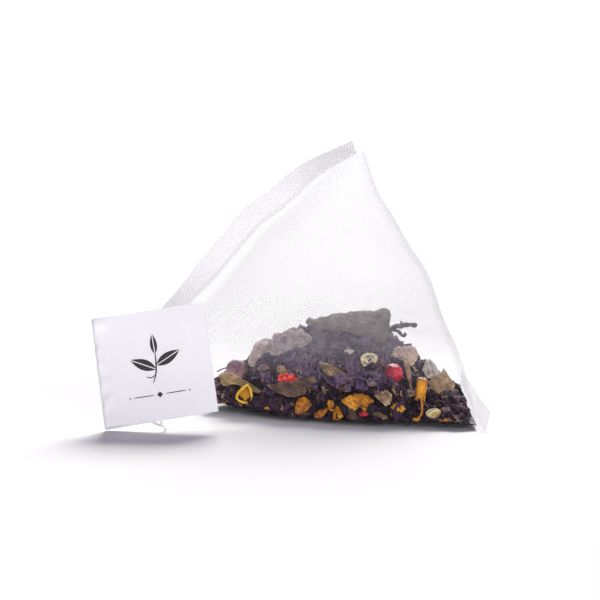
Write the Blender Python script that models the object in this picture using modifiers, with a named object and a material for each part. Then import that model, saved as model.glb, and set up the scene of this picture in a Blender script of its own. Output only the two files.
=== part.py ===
"""A pyramid tea bag at rest: mesh film round a heap of fruit, flower and leaf pieces, with string and tag.

Metres, +Z up. The origin is on the floor, in the middle of the film's resting patch. The foot seal runs
front to back along Y on the right, and the upper seal rises from the left corner to the peak.
"""

import math

import bmesh
import bpy
import numpy as np
from mathutils import Euler, Matrix, Vector, noise
from mathutils.bvhtree import BVHTree

# Mesh film: a strip joined into a tube, then sealed across at both ends, a quarter turn apart
FILM_STRIP_WIDTH = 0.140
FILM_LAP = 0.005
FLAT = (FILM_STRIP_WIDTH - FILM_LAP) / 2
SEAL_BAND = 0.0045
FILM_WALL = 0.00022
SEAL_THICKNESS = 0.0004
SEAL_MOUTH = 0.0003
AROUND = 40
ALONG = 18
MESH_GAP_SHARE = 0.46
LOWEST_GAP = 0.0025

# Paper tag, folded in two with its fold on the left
TAG_SIDE = 0.0205
TAG_PAPER = 0.00025
TAG_YAW = math.radians(-6.5)
TAG_LEAN = math.radians(22)
TAG_ROLL = math.radians(10.5)

# Cotton string
STRING_DIAMETER = 0.00045
COIL_RADIUS = 0.0027
COIL_WIDTH = 0.0011
COIL_HEIGHT = 0.0010

# Room kept between neighbours
CLEARANCE = 0.0003
SEAT_CLEARANCE = 0.00042

# Places below are in flat widths of the film, so that they follow the film's size
TOP_LINE = (
    (0.290, 0, 0.0),
    (0.286, 0, 0.068),
    (0.255, 0, 0.160),
    (0.224, 0, 0.236),
    (0.169, 0, 0.385),
    (0.076, 0, 0.533),
    (0.021, 0, 0.637),
    (-0.013, 0, 0.741),
)
BASE_LINE = (
    (0.290, 0, 0),
    (0.148, 0, 0),
    (-0.059, 0, 0),
    (-0.237, 0, 0),
    (-0.400, -0.015, 0.015),
    (-0.548, -0.044, 0.041),
)
UPPER_SEAL_EDGE = (
    (-0.612, -0.044, 0.052),
    (-0.618, -0.040, 0.141),
    (-0.606, -0.036, 0.216),
    (-0.575, -0.030, 0.283),
    (-0.527, -0.022, 0.339),
    (-0.453, -0.015, 0.434),
    (-0.347, 0.000, 0.559),
    (-0.276, 0.004, 0.612),
    (-0.187, 0.009, 0.684),
    (-0.083, 0.012, 0.733),
    (-0.041, 0.012, 0.751),
)
UPPER_SEAL_TWIST = (45, 50, 55, 40, 12, 8, 10, 20, 45, 58)

# Stations along the heap: x, height of its crest, depth of its front edge, depth of its back edge
HEAP_STATIONS = (
    (-0.430, 0.060, -0.090, 0.085),
    (-0.400, 0.092, -0.140, 0.120),
    (-0.350, 0.130, -0.185, 0.175),
    (-0.252, 0.186, -0.240, 0.240),
    (-0.148, 0.224, -0.300, 0.290),
    (-0.044, 0.240, -0.350, 0.320),
    (0.059, 0.232, -0.385, 0.350),
    (0.100, 0.195, -0.395, 0.361),
    (0.133, 0.160, -0.400, 0.370),
    (0.193, 0.102, -0.420, 0.385),
    (0.237, 0.058, -0.435, 0.385),
    (0.270, 0.033, -0.435, 0.370),
)
FRONT_HOLLOWS = (
    (0.066, 0.122, 0.062),
    (-0.362, 0.135, 0.045),
    (-0.217, 0.115, 0.026),
    (0.141, 0.085, 0.030),
    (0.205, 0.095, 0.020),
    (-0.300, 0.120, 0.020),
)
HOLLOW_REACH = 0.042
HEAP_ALONG = 26
HEAP_ACROSS = 16
HEAP_LUMP = 0.0006
HEAP_LUMP_SPACING = 0.0026
HEAP_MARGIN = 0.0006

VIEW_SLOPE = math.radians(7.6)
FROM_FRONT = Vector((0, math.cos(VIEW_SLOPE), -math.sin(VIEW_SLOPE)))
FROM_BACK = Vector((0, -math.cos(VIEW_SLOPE), -math.sin(VIEW_SLOPE)))
FROM_ABOVE = Vector((0, 0, -1))
SEAT_REACH = 0.016
LARGE_LEAF_CUT = (0.0155, 0.0072)
BACK_LEAF_CUT = (0.009, 0.004)
LEAF_STRIP_CUT = (0.0088, 0.0024)
SEAT_STEP = 0.0002
SEAT_SHIFT = 0.0007
LEANS = (0, 14, 28, 42)


def clear_scene():
    for obj in list(bpy.data.objects):
        bpy.data.objects.remove(obj, do_unlink=True)


def new_collection(name):
    collection = bpy.data.collections.new(name)
    bpy.context.scene.collection.children.link(collection)
    return collection


def material(name, colour, roughness=0.7):
    made = bpy.data.materials.new(name)
    made.use_nodes = True
    shader = made.node_tree.nodes["Principled BSDF"]
    shader.inputs["Base Color"].default_value = (*colour, 1)
    shader.inputs["Roughness"].default_value = roughness
    shader.inputs["Metallic"].default_value = 0
    return made


def add_object(name, data, colour, roughness=0.7):
    obj = bpy.data.objects.new(name, data)
    obj.data.materials.append(material(name, colour, roughness))
    PARTS.objects.link(obj)
    return obj


def mesh_from(name, points, faces):
    mesh = bpy.data.meshes.new(name)
    mesh.from_pydata([tuple(p) for p in points], [], faces)
    mesh.validate()
    return mesh


def smooth(obj, angle=40):
    obj.data.shade_smooth()
    obj.data.set_sharp_from_angle(angle=math.radians(angle))


def resample(line, count):
    """The line as count points an even distance apart."""
    step = np.r_[0, np.cumsum(np.linalg.norm(np.diff(line, axis=0), axis=1))]
    at = np.linspace(0, step[-1], count)
    return np.stack([np.interp(at, step, line[:, k]) for k in range(3)], 1)


def smooth_path(points, count):
    """A smooth curve through the points, as count points an even distance apart."""
    points = np.array(points, float)
    ends = np.vstack([2 * points[0] - points[1], points, 2 * points[-1] - points[-2]])
    line = []
    for p0, p1, p2, p3 in zip(ends, ends[1:], ends[2:], ends[3:]):
        for t in np.linspace(0, 1, 24, endpoint=False):
            bend = 2 * p0 - 5 * p1 + 4 * p2 - p3
            line.append(0.5 * (2 * p1 + (p2 - p0) * t + bend * t**2 + (3 * p1 - p0 - 3 * p2 + p3) * t**3))
    line.append(points[-1])
    return resample(np.array(line), count)


def length_of(line):
    return np.linalg.norm(np.diff(line, axis=0), axis=1).sum()


# Film


def upper_seal(count):
    """Inner line, outer edge and face normals of the upper seal band, from the left corner up to the peak."""
    edge = smooth_path(np.array(UPPER_SEAL_EDGE) * FLAT, count)
    tangent = np.gradient(edge, axis=0)
    tangent /= np.linalg.norm(tangent, axis=1)[:, None]
    across = np.cross([0, 1, 0], tangent)
    across *= -np.sign(across[count // 2, 0]) / np.linalg.norm(across, axis=1)[:, None]
    share = np.linspace(0, 1, count)
    twist = np.radians(np.interp(share, np.linspace(0, 1, len(UPPER_SEAL_TWIST)), UPPER_SEAL_TWIST))
    outward = across * np.cos(twist)[:, None] + np.array([0, 1, 0]) * np.sin(twist)[:, None]
    normal = np.cross(tangent, outward)
    normal *= -np.sign(normal[count // 2, 1]) / np.linalg.norm(normal, axis=1)[:, None]
    return edge - outward * SEAL_BAND, edge, normal


def section(width, spine, share):
    """Closed outline round a spine curve that runs from the base line up to the top line."""
    swell = math.sin(math.pi * share)
    turn = np.linspace(math.pi / 2, math.pi / 2 + 2 * math.pi, 241)
    side = -np.cos(turn)
    rise = np.sin(turn)
    power = np.where(rise < 0, 2.1 + 4.4 * swell**1.5, 2.1 - 0.75 * swell)
    side = -np.sign(side) * np.abs(side) ** (2 / power)
    rise = np.sign(rise) * np.abs(rise) ** (2 / power)
    widest = -0.84 * max(swell, 0) ** 0.55
    rise = np.where(rise < 0, widest + (1 + widest) * rise, widest + (1 - widest) * rise)
    at = np.linspace(-1, 1, len(spine))
    outline = np.stack([np.interp(rise, at, spine[:, k]) for k in range(3)], 1)
    outline[:, 1] += width * side
    return outline


def film_ring(share, base, top, bow, inset, gathered):
    """One ring of the tube or, by inset, of its inner face: from the top line round by the front."""
    reach = np.linspace(0, 1, len(bow))[:, None]
    spine = base + reach * (top - base) + bow * share**1.6
    low, high = 0.0, FLAT
    around = 2 * FLAT - 2 * gathered * share**3
    for _ in range(40):
        width = (low + high) / 2
        if length_of(section(width, spine, share)) > around:
            high = width
        else:
            low = width
    width = max(low, FILM_WALL + SEAL_MOUTH / 2) - inset
    inward = (top - base) / np.linalg.norm(top - base) * inset
    outline = section(width, spine + inward * (1 - 2 * reach), share)
    half = len(outline) // 2
    front = resample(outline[: half + 1], AROUND // 2 + 1)[:-1]
    back = resample(outline[half:], AROUND // 2 + 1)[:-1]
    ring = np.vstack([front, back])
    ring[:, 2] = np.maximum(ring[:, 2], inset)
    return ring


def film_rings(inset):
    """Rings of the tube from the foot seal's inner line to the upper seal's inner line."""
    top_line = np.array(TOP_LINE) * FLAT
    top_line[0, 2] = SEAL_MOUTH + 2 * FILM_WALL
    top = smooth_path(top_line, ALONG)
    base = smooth_path(np.array(BASE_LINE) * FLAT, ALONG)
    inner, _, _ = upper_seal(41)
    base[-1], top[-1] = inner[0], inner[-1]
    bow = inner - (inner[0] + np.linspace(0, 1, len(inner))[:, None] * (inner[-1] - inner[0]))
    gathered = FLAT - length_of(inner) * 1.004
    return [film_ring(i / (ALONG - 1), base[i], top[i], bow, inset, gathered) for i in range(ALONG)]


def upper_seal_rings():
    """Rings of the upper seal band, outside the tube's last ring."""
    count = AROUND // 2 + 1
    inner, edge, normal = upper_seal(count)
    rings = []
    for share in (0.5, 1.0):
        middle = inner + (edge - inner) * share
        half = normal * SEAL_THICKNESS / 2
        half[0] *= 0.3
        half[-1] *= 0.3
        front = (middle + half)[::-1]
        back = (middle - half)[1:-1]
        rings.append(np.vstack([front, back]))
    return rings


def foot_seal_rings(first):
    """Rings of the foot seal band, which turns up off the floor, from its outer edge to the tube."""
    out = first[0, 0]
    path = ((0.0008, 0.0004), (0.0013, 0.0015), (0.0015, SEAL_BAND * 0.86))
    rings = []
    for n, (x, z) in enumerate(path):
        ring = first.copy()
        lean = min(1, 0.4 + n * 0.5)
        upper = np.array([-lean, 0.0, 1 - lean])
        upper *= SEAL_THICKNESS / 2 / np.linalg.norm(upper)
        for k in range(AROUND):
            side = 1 if k <= AROUND // 4 or k >= 3 * AROUND // 4 else -1
            at_end = k in (AROUND // 4, 3 * AROUND // 4)
            place = np.array([out + x, 0, z]) + upper * side * (0.3 if at_end else 1)
            ring[k, 0], ring[k, 2] = place[0], place[2]
        rings.append(ring)
    return rings[::-1]


def gap_cells(rings):
    """Cells of the tube's grid that hold an opening in the mesh, on the front face and the back face."""
    quarter = AROUND // 4
    cells = set()
    for i in range(3, ALONG - 3):
        for k in range(quarter - 6, quarter + 3):
            for side in (k, AROUND - 1 - k):
                lowest = min(ring[side + n, 2] for ring in rings[i : i + 2] for n in (0, 1))
                if (i + k) % 2 == 0 and lowest > LOWEST_GAP:
                    cells.add((i, side))
    return cells


def make_mesh_bag():
    """The whole film: an outer and an inner surface, joined round the openings of the mesh."""
    outer = film_rings(0)
    inner = film_rings(FILM_WALL)
    rings = foot_seal_rings(outer[0]) + outer + upper_seal_rings()
    first = len(rings) - len(outer) - 2
    points = [p for ring in rings for p in ring]
    inside = len(points)
    points += [p for ring in inner for p in ring]
    faces = []
    gaps = gap_cells(outer)

    def corners(start, i, k):
        after = (k + 1) % AROUND
        near, far = start + i * AROUND, start + (i + 1) * AROUND
        return [near + k, near + after, far + after, far + k]

    def split(quad, flip=False):
        """Adds a quad as two triangles, on the same diagonal for both surfaces of the film."""
        for triangle in ((quad[0], quad[1], quad[2]), (quad[0], quad[2], quad[3])):
            faces.append(triangle[::-1] if flip else triangle)

    def frame(quad, flip=False):
        """Adds a smaller quad inside this one, with faces between them, and returns it."""
        at = [np.array(points[n]) for n in quad]
        middle = sum(at) / 4
        small = []
        for corner in at:
            small.append(len(points))
            points.append(middle + (corner - middle) * MESH_GAP_SHARE)
        for n in range(4):
            m = (n + 1) % 4
            split((quad[n], quad[m], small[m], small[n]), flip)
        return small

    for i in range(len(rings) - 1):
        for k in range(AROUND):
            quad = corners(0, i, k)
            if (i - first, k) not in gaps:
                split(quad)
                continue
            hole = frame(quad)
            behind = corners(inside, i - first, k)
            pocket = frame(behind, flip=True)
            for n in range(4):
                m = (n + 1) % 4
                split((hole[n], hole[m], pocket[m], pocket[n]))
    for i in range(len(inner) - 1):
        for k in range(AROUND):
            if (i, k) not in gaps:
                split(corners(inside, i, k), flip=True)

    def close(start, shift, flip):
        """Closes a flattened ring, joining each point to the one across from it."""
        for n in range(AROUND // 2):
            a, b = (shift + n) % AROUND, (shift + n + 1) % AROUND
            c, d = (shift - n - 1) % AROUND, (shift - n) % AROUND
            quad = [start + v for v in (a, b, c, d)]
            quad = list(dict.fromkeys(quad))
            if len(quad) > 2:
                faces.append(tuple(quad if flip else quad[::-1]))

    close(0, AROUND // 4, False)
    close((len(rings) - 1) * AROUND, 0, True)
    close(inside, AROUND // 4, True)
    close(inside + (len(inner) - 1) * AROUND, 0, False)
    film_mesh = mesh_from("mesh_bag", points, [face[::-1] for face in faces])
    bag = add_object("mesh_bag", film_mesh, (0.93, 0.93, 0.95), 0.5)
    smooth(bag, 60)
    return bag, inner


def film_tree(inner):
    """The film's inner face as a tree, with its faces pointing into the bag."""
    points = [Vector(p) for ring in inner for p in ring]
    faces = []
    for i in range(len(inner) - 1):
        for k in range(AROUND):
            after = (k + 1) % AROUND
            faces.append((i * AROUND + k, (i + 1) * AROUND + k, (i + 1) * AROUND + after, i * AROUND + after))
    tree = BVHTree.FromPolygons(points, faces)
    middle = sum(points, Vector()) / len(points)
    _, normal, _, _ = tree.find_nearest(middle)
    near, _, _, _ = tree.find_nearest(middle)
    if normal.dot(middle - near) < 0:
        tree = BVHTree.FromPolygons(points, [face[::-1] for face in faces])
    return tree


def depth_inside(film, point):
    """How far the point is inside the film's inner face, below zero outside it."""
    near, normal, _, _ = film.find_nearest(point)
    return (point - near).dot(normal)


# Heap


def heap_height(x, share):
    """Height of the heap's surface at x, with share -1 at its front edge and 1 at its back edge."""
    stations = np.array(HEAP_STATIONS) * FLAT
    crest = np.interp(x, stations[:, 0], stations[:, 1])
    return crest * (1 - abs(share) ** 2.0) ** 0.8


def hollow_at(point):
    """How deep the front slope gives way there, under the larger fruit."""
    deep = 0
    for x, z, depth in FRONT_HOLLOWS:
        away = math.hypot(point.x / FLAT - x, point.z / FLAT - z) / HOLLOW_REACH
        deep += depth * FLAT * math.exp(-(away**2))
    return deep


def make_heap(film):
    """The packed leaf shreds, as one lumpy body that stays inside the film."""
    stations = np.array(HEAP_STATIONS) * FLAT
    rows = []
    for x in np.linspace(stations[0, 0], stations[-1, 0], HEAP_ALONG):
        front = np.interp(x, stations[:, 0], stations[:, 2])
        back = np.interp(x, stations[:, 0], stations[:, 3])
        row = []
        for n in range(2 * HEAP_ACROSS):
            turn = math.pi * n / HEAP_ACROSS
            share = -math.cos(turn)
            y = (front + back) / 2 + share * (back - front) / 2
            z = heap_height(x, share) if n <= HEAP_ACROSS else 0
            row.append(Vector((x, y, z)))
        rows.append(row)
    points = []
    for row in rows:
        for point in row:
            lump = noise.noise(point / HEAP_LUMP_SPACING)
            lump += 0.5 * noise.noise(point / HEAP_LUMP_SPACING * 2.3)
            point = point + Vector((0, -0.3, 1)) * lump * HEAP_LUMP
            if point.y < 0:
                point.y += hollow_at(point)
            for _ in range(12):
                near, normal, _, _ = film.find_nearest(point)
                inside = (point - near).dot(normal)
                if inside >= HEAP_MARGIN:
                    break
                point = point + normal * (HEAP_MARGIN - inside + 0.00005)
            points.append(point)
    faces = []
    around = 2 * HEAP_ACROSS
    for i in range(HEAP_ALONG - 1):
        for n in range(around):
            after = (n + 1) % around
            faces.append((i * around + n, (i + 1) * around + n, (i + 1) * around + after, i * around + after))
    last = (HEAP_ALONG - 1) * around
    for n in range(HEAP_ACROSS):
        quad = list(dict.fromkeys((n, n + 1, around - n - 1, (around - n) % around)))
        faces.append(tuple(quad))
        faces.append(tuple(last + v for v in quad[::-1]))
    heap_mesh = mesh_from("leaf_shred_heap", points, faces)
    heap = add_object("leaf_shred_heap", heap_mesh, (0.075, 0.05, 0.07), 0.85)
    smooth(heap, 80)
    return heap


# Loose pieces


def petal_mesh(name, length, width, thickness, curl=0.3, ruffle=0.0, tip=0.45, turn=0.0):
    """A curled sheet: curl bends it across, turn along, ruffle waves its edge, tip narrows its ends."""
    across, along = 3, 6
    points, faces = [], []
    for i in range(along + 1):
        a = i / along - 0.5
        for j in range(across + 1):
            b = j / across - 0.5
            spread = 1 - (1 - tip) * (2 * abs(a)) ** 2.2
            x = a * length
            y = b * width * spread
            z = curl * width * (4 * b * b) * 0.5 + turn * length * (2 * a) ** 2 * 0.5
            z += ruffle * math.sin(a * 17 + b * 4) * abs(2 * b)
            points.append((x, y, z))
    for i in range(along):
        for j in range(across):
            n = i * (across + 1) + j
            faces.append((n, n + across + 1, n + across + 2, n + 1))
    mesh = mesh_from(name, points, faces)
    return mesh, thickness


def make_petal(name, colour, length, width, thickness=0.0003, **shape):
    mesh, thickness = petal_mesh(name, length, width, thickness, **shape)
    obj = add_object(name, mesh, colour, 0.8)
    shell = obj.modifiers.new("thickness", "SOLIDIFY")
    shell.thickness = thickness
    shell.offset = 0
    smooth(obj, 50)
    return obj


def make_ball(name, colour, length, width, height, wrinkle=0.0, lobes=7.0):
    """A round fruit or seed with a wrinkled or lobed skin."""
    body = bmesh.new()
    bmesh.ops.create_uvsphere(body, u_segments=14, v_segments=9, radius=1)
    for vert in body.verts:
        bump = 1 + wrinkle * noise.noise(vert.co * lobes)
        vert.co = Vector((vert.co.x * length / 2, vert.co.y * width / 2, vert.co.z * height / 2)) * bump
    mesh = bpy.data.meshes.new(name)
    body.to_mesh(mesh)
    body.free()
    obj = add_object(name, mesh, colour, 0.6)
    smooth(obj, 60)
    return obj


def make_cluster(name, colour, size, drupelet):
    """A dried fruit cluster: one skin, raised over each of its drupelets."""
    body = bmesh.new()
    bmesh.ops.create_icosphere(body, subdivisions=2, radius=1)
    centres = []
    for n in range(13):
        z = n / 6 - 1
        flat = math.sqrt(1 - z * z)
        centres.append(Vector((math.cos(2.4 * n) * flat, math.sin(2.4 * n) * flat, z)))
    for vert in body.verts:
        near = min((vert.co.normalized() - c).length for c in centres)
        vert.co = vert.co * (0.78 + 0.26 * max(0, 1 - (near / drupelet) ** 2) ** 0.5)
        vert.co = Vector((vert.co.x * size[0] / 2, vert.co.y * size[1] / 2, vert.co.z * size[2] / 2))
    mesh = bpy.data.meshes.new(name)
    body.to_mesh(mesh)
    body.free()
    obj = add_object(name, mesh, colour, 0.45)
    smooth(obj, 60)
    return obj


def make_twig(name, colour, points, thickness):
    """A stem along a smooth curve."""
    path = smooth_path(np.array(points), max(6, 4 * len(points)))
    path -= path.mean(axis=0)
    curve = bpy.data.curves.new(name, "CURVE")
    curve.dimensions = "3D"
    curve.bevel_depth = thickness / 2
    curve.bevel_resolution = 1
    curve.use_fill_caps = True
    spline = curve.splines.new("POLY")
    spline.points.add(len(path) - 1)
    for place, point in zip(spline.points, path):
        place.co = (*point, 1)
    return add_object(name, curve, colour, 0.75)


def make_stick(name, colour, length, width, depth):
    """A cut strip of peel with softened edges and a slight bow."""
    body = bmesh.new()
    bmesh.ops.create_cube(body, size=1)
    edges = [e for e in body.edges if abs(e.verts[0].co.x - e.verts[1].co.x) > 0.5]
    bmesh.ops.subdivide_edges(body, edges=edges, cuts=5)
    for vert in body.verts:
        bow = 0.12 * width * (2 * vert.co.x) ** 2
        swell = 1 + 0.12 * math.sin(vert.co.x * 9)
        vert.co = Vector((vert.co.x * length, vert.co.y * width * swell, vert.co.z * depth * swell + bow))
    mesh = bpy.data.meshes.new(name)
    body.to_mesh(mesh)
    body.free()
    obj = add_object(name, mesh, colour, 0.55)
    bevel = obj.modifiers.new("soft_edges", "BEVEL")
    bevel.width = min(width, depth) * 0.18
    bevel.segments = 1
    smooth(obj, 50)
    return obj


def world_shape(obj):
    """(points, faces) of the object as it is drawn, in the world."""
    bpy.context.view_layer.update()
    shown = obj.evaluated_get(bpy.context.evaluated_depsgraph_get())
    mesh = shown.to_mesh()
    points = [shown.matrix_world @ vert.co for vert in mesh.vertices]
    faces = [tuple(face.vertices) for face in mesh.polygons]
    shown.to_mesh_clear()
    return points, faces


def seat(obj, place, turn, toward, film, seated):
    """Lays a piece on what lies behind or under it.

    It comes in at place, given in flat widths, and moves toward the heap until it would touch. A piece that
    finds no room there leans back with the slope, and then gives way sideways.
    """
    upright = Euler([math.radians(a) for a in turn]).to_matrix()
    obj.location = (0, 0, 0)
    shapes = []
    for lean in LEANS:
        tilt = Matrix.Rotation(-math.radians(lean) * toward.y, 3, "X")
        obj.rotation_euler = (tilt @ upright).to_euler()
        points, faces = world_shape(obj)
        shapes.append((obj.rotation_euler.copy(), points, faces, BVHTree.FromPolygons(points, faces)))
    reach = max(p.length for p in shapes[0][1]) + SEAT_CLEARANCE

    def blocked(at, shape):
        _, points, faces, own = shape
        for tree, others, middle, radius, full in seated:
            if (at - middle).length > reach + radius:
                continue
            near, normal, _, _ = tree.find_nearest(at)
            if full and (at - near).dot(normal) < 0:
                return True
            if any(tree.find_nearest(at + p, SEAT_CLEARANCE)[0] is not None for p in points):
                return True
            close = [p - at for p in others if (p - at).length < reach]
            if any(own.find_nearest(p, SEAT_CLEARANCE)[0] is not None for p in close):
                return True
            if BVHTree.FromPolygons([at + p for p in points], faces).overlap(tree):
                return True
        return False

    def rest_from(begin, shape):
        """The last free place on the way in from this one, or None."""
        rest = None
        steps = int(SEAT_REACH / SEAT_STEP)
        for n in range(-steps // 2, steps):
            at = begin + toward * (n * SEAT_STEP)
            free = all(depth_inside(film, at + p) > SEAT_CLEARANCE for p in shape[1]) and not blocked(at, shape)
            if rest is not None and not free:
                break
            if free:
                rest = at
        return rest

    start = Vector(place) * FLAT
    sideways = Vector((1, 0, 0))
    upward = toward.cross(sideways).normalized()
    upward *= 1 if upward.z > 0 else -1
    shifts = [Vector((0, 0, 0))]
    for ring in range(1, 7):
        for n in range(8):
            turned = math.pi / 2 + math.pi * n / 4
            shifts.append((sideways * math.cos(turned) + upward * math.sin(turned)) * ring * SEAT_SHIFT)
    tries = ((shift, shape) for shift in shifts for shape in shapes)
    for shift, shape in tries:
        rest = rest_from(start + shift, shape)
        if rest is not None:
            break
    if rest is None:
        raise ValueError(obj.name + " has no room")
    obj.rotation_euler = shape[0]
    obj.location = rest
    moved = [rest + p for p in shape[1]]
    middle = sum(moved, Vector()) / len(moved)
    radius = max((p - middle).length for p in moved)
    seated.append((BVHTree.FromPolygons(moved, shape[2]), moved, middle, radius, False))


def seat_as_is(obj, seated):
    points, faces = world_shape(obj)
    middle = sum(points, Vector()) / len(points)
    radius = max((p - middle).length for p in points)
    seated.append((BVHTree.FromPolygons(points, faces), points, middle, radius, True))


AMBER = (0.62, 0.30, 0.03)
ORANGE = (0.85, 0.45, 0.03)
TAN = (0.42, 0.29, 0.18)
BROWN = (0.20, 0.12, 0.08)
PINK_GREY = (0.45, 0.33, 0.33)
GREY = (0.42, 0.38, 0.37)
CRIMSON = (0.55, 0.02, 0.05)
PLUM = (0.22, 0.11, 0.15)
DARK = (0.06, 0.045, 0.06)
MM = 0.001


def front_pieces():
    """The pieces on the heap's front slope: object, place in flat widths, turn in degrees."""
    return (
        (
            make_ball("crimson_berry", CRIMSON, 3.6 * MM, 3.3 * MM, 3.3 * MM, 0.10),
            (0.066, -0.33, 0.127),
            (0, 20, 10),
        ),
        (
            make_ball("dark_berry", PLUM, 3.9 * MM, 3.7 * MM, 3.9 * MM, 0.05),
            (-0.362, -0.24, 0.140),
            (0, 0, 0),
        ),
        (
            make_cluster("red_fruit_cluster", (0.75, 0.04, 0.03), (4.0 * MM, 2.0 * MM, 2.5 * MM), 0.62),
            (-0.217, -0.31, 0.118),
            (0, 18, 0),
        ),
        (
            make_stick("orange_peel_stick", ORANGE, 5.6 * MM, 2.0 * MM, 1.3 * MM),
            (0.141, -0.40, 0.100),
            (90, -82, 0),
        ),
        (
            make_twig(
                "amber_stem",
                AMBER,
                [(0, 0, 0), (0.4 * MM, 0, -2 * MM), (0.9 * MM, 0, -4 * MM)],
                0.5 * MM,
            ),
            (0.128, -0.44, 0.056),
            (0, 0, 0),
        ),
        (
            make_ball("pale_seed", (0.62, 0.55, 0.33), 2.9 * MM, 1.0 * MM, 1.8 * MM),
            (0.169, -0.46, 0.036),
            (0, -12, 0),
        ),
        (
            make_petal("grey_petal", GREY, 3.6 * MM, 2.8 * MM, curl=0.4),
            (0.176, -0.33, 0.150),
            (80, -60, 0),
        ),
        (
            make_petal("frayed_tan_petal", TAN, 5.0 * MM, 4.2 * MM, curl=0.3, ruffle=0.3 * MM),
            (0.205, -0.36, 0.103),
            (78, -20, 10),
        ),
        (
            make_petal("peach_petal", (0.52, 0.37, 0.28), 5.0 * MM, 3.0 * MM, curl=0.3),
            (0.100, -0.28, 0.182),
            (75, 10, 0),
        ),
        (
            make_petal("peach_stalk", TAN, 4.6 * MM, 0.9 * MM, curl=0.2),
            (0.108, -0.30, 0.130),
            (80, 68, 0),
        ),
        (
            make_petal("blossom_petal", PINK_GREY, 4.8 * MM, 3.8 * MM, curl=0.4, tip=0.7),
            (-0.290, -0.24, 0.186),
            (70, -20, 0),
        ),
        (
            make_petal("mauve_petal", (0.38, 0.30, 0.33), 5.6 * MM, 4.2 * MM, curl=0.2, ruffle=0.3 * MM),
            (-0.210, -0.22, 0.215),
            (72, -30, 0),
        ),
        (
            make_petal("pink_bit", (0.55, 0.25, 0.25), 2.2 * MM, 1.1 * MM),
            (-0.275, -0.30, 0.150),
            (75, 0, 0),
        ),
        (
            make_petal("curled_petal", (0.50, 0.43, 0.34), 3.0 * MM, 2.6 * MM, curl=0.8, turn=0.4),
            (-0.003, -0.28, 0.160),
            (70, 30, 0),
        ),
        (
            make_ball("white_bud", (0.62, 0.64, 0.50), 1.7 * MM, 1.0 * MM, 1.2 * MM),
            (-0.052, -0.25, 0.190),
            (0, 0, 0),
        ),
        (
            make_ball("grey_bit", (0.40, 0.38, 0.36), 1.5 * MM, 1.2 * MM, 1.3 * MM, 0.2),
            (-0.236, -0.30, 0.146),
            (0, 0, 0),
        ),
        (
            make_petal("curled_tan_leaf", TAN, 5.4 * MM, 2.6 * MM, curl=0.6),
            (-0.095, -0.30, 0.140),
            (70, 25, 0),
        ),
        (
            make_petal("olive_leaf", (0.22, 0.16, 0.07), 8.6 * MM, 3.6 * MM, curl=0.25, ruffle=0.2 * MM),
            (-0.345, -0.27, 0.096),
            (72, 16, 6),
        ),
        (
            make_petal("brown_leaf_strip", BROWN, *LEAF_STRIP_CUT, curl=0.3),
            (-0.205, -0.33, 0.082),
            (72, -12, 0),
        ),
        (
            make_petal("yellow_curl", (0.80, 0.50, 0.05), 3.6 * MM, 2.6 * MM, curl=0.7),
            (-0.325, -0.30, 0.058),
            (78, 5, 0),
        ),
        (
            make_petal("amber_petal", AMBER, 3.4 * MM, 2.8 * MM, curl=0.4),
            (-0.178, -0.38, 0.056),
            (80, -35, 0),
        ),
        (
            make_petal(
                "large_amber_petal",
                (0.70, 0.36, 0.04),
                5.4 * MM,
                3.0 * MM,
                curl=0.3,
                ruffle=0.2 * MM,
            ),
            (-0.032, -0.39, 0.066),
            (80, -5, 0),
        ),
        (
            make_petal("tan_curl", TAN, 3.6 * MM, 2.4 * MM, curl=0.8),
            (0.038, -0.39, 0.078),
            (78, -30, 0),
        ),
        (
            make_petal("amber_bit_1", AMBER, 3.0 * MM, 1.7 * MM, curl=0.4),
            (-0.186, -0.40, 0.026),
            (80, -25, 0),
        ),
        (
            make_petal("amber_bit_2", AMBER, 2.6 * MM, 1.6 * MM, curl=0.4),
            (-0.128, -0.40, 0.030),
            (80, -50, 0),
        ),
        (
            make_petal("amber_bit_3", AMBER, 2.4 * MM, 1.7 * MM, curl=0.5),
            (-0.085, -0.40, 0.026),
            (80, 60, 0),
        ),
        (
            make_petal("amber_bit_4", TAN, 2.2 * MM, 1.4 * MM, curl=0.4),
            (-0.045, -0.40, 0.026),
            (80, 70, 0),
        ),
        (
            make_petal("red_bit", (0.50, 0.08, 0.06), 1.8 * MM, 1.1 * MM),
            (-0.016, -0.41, 0.028),
            (80, 0, 0),
        ),
        (
            make_petal("tan_bit", TAN, 2.9 * MM, 1.5 * MM, curl=0.3),
            (0.020, -0.41, 0.026),
            (80, 10, 0),
        ),
        (
            make_twig(
                "dark_stick",
                DARK,
                [(0, 0, 0), (1.4 * MM, 0, 0.1 * MM), (2.8 * MM, 0, 0)],
                0.9 * MM,
            ),
            (0.222, -0.33, 0.085),
            (0, 0, 0),
        ),
        (
            make_twig(
                "small_twig",
                DARK,
                [(0, 0, 0), (1.0 * MM, 0, 0.5 * MM), (2.0 * MM, 0, 0.8 * MM)],
                0.4 * MM,
            ),
            (-0.400, -0.22, 0.138),
            (0, 0, 0),
        ),
    )


def top_pieces():
    """The pieces on the heap's crest."""
    return (
        (
            make_petal("large_leaf", (0.20, 0.20, 0.16), *LARGE_LEAF_CUT, curl=0.22, tip=0.55),
            (-0.052, -0.10, 0.36),
            (44, -4, 0),
        ),
        (
            make_twig(
                "forked_stem",
                DARK,
                [(0, 0, 0), (1.6 * MM, 0, 0.5 * MM), (3.4 * MM, 0, 0.3 * MM)],
                0.7 * MM,
            ),
            (0.100, -0.05, 0.30),
            (0, -15, 0),
        ),
    )


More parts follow.
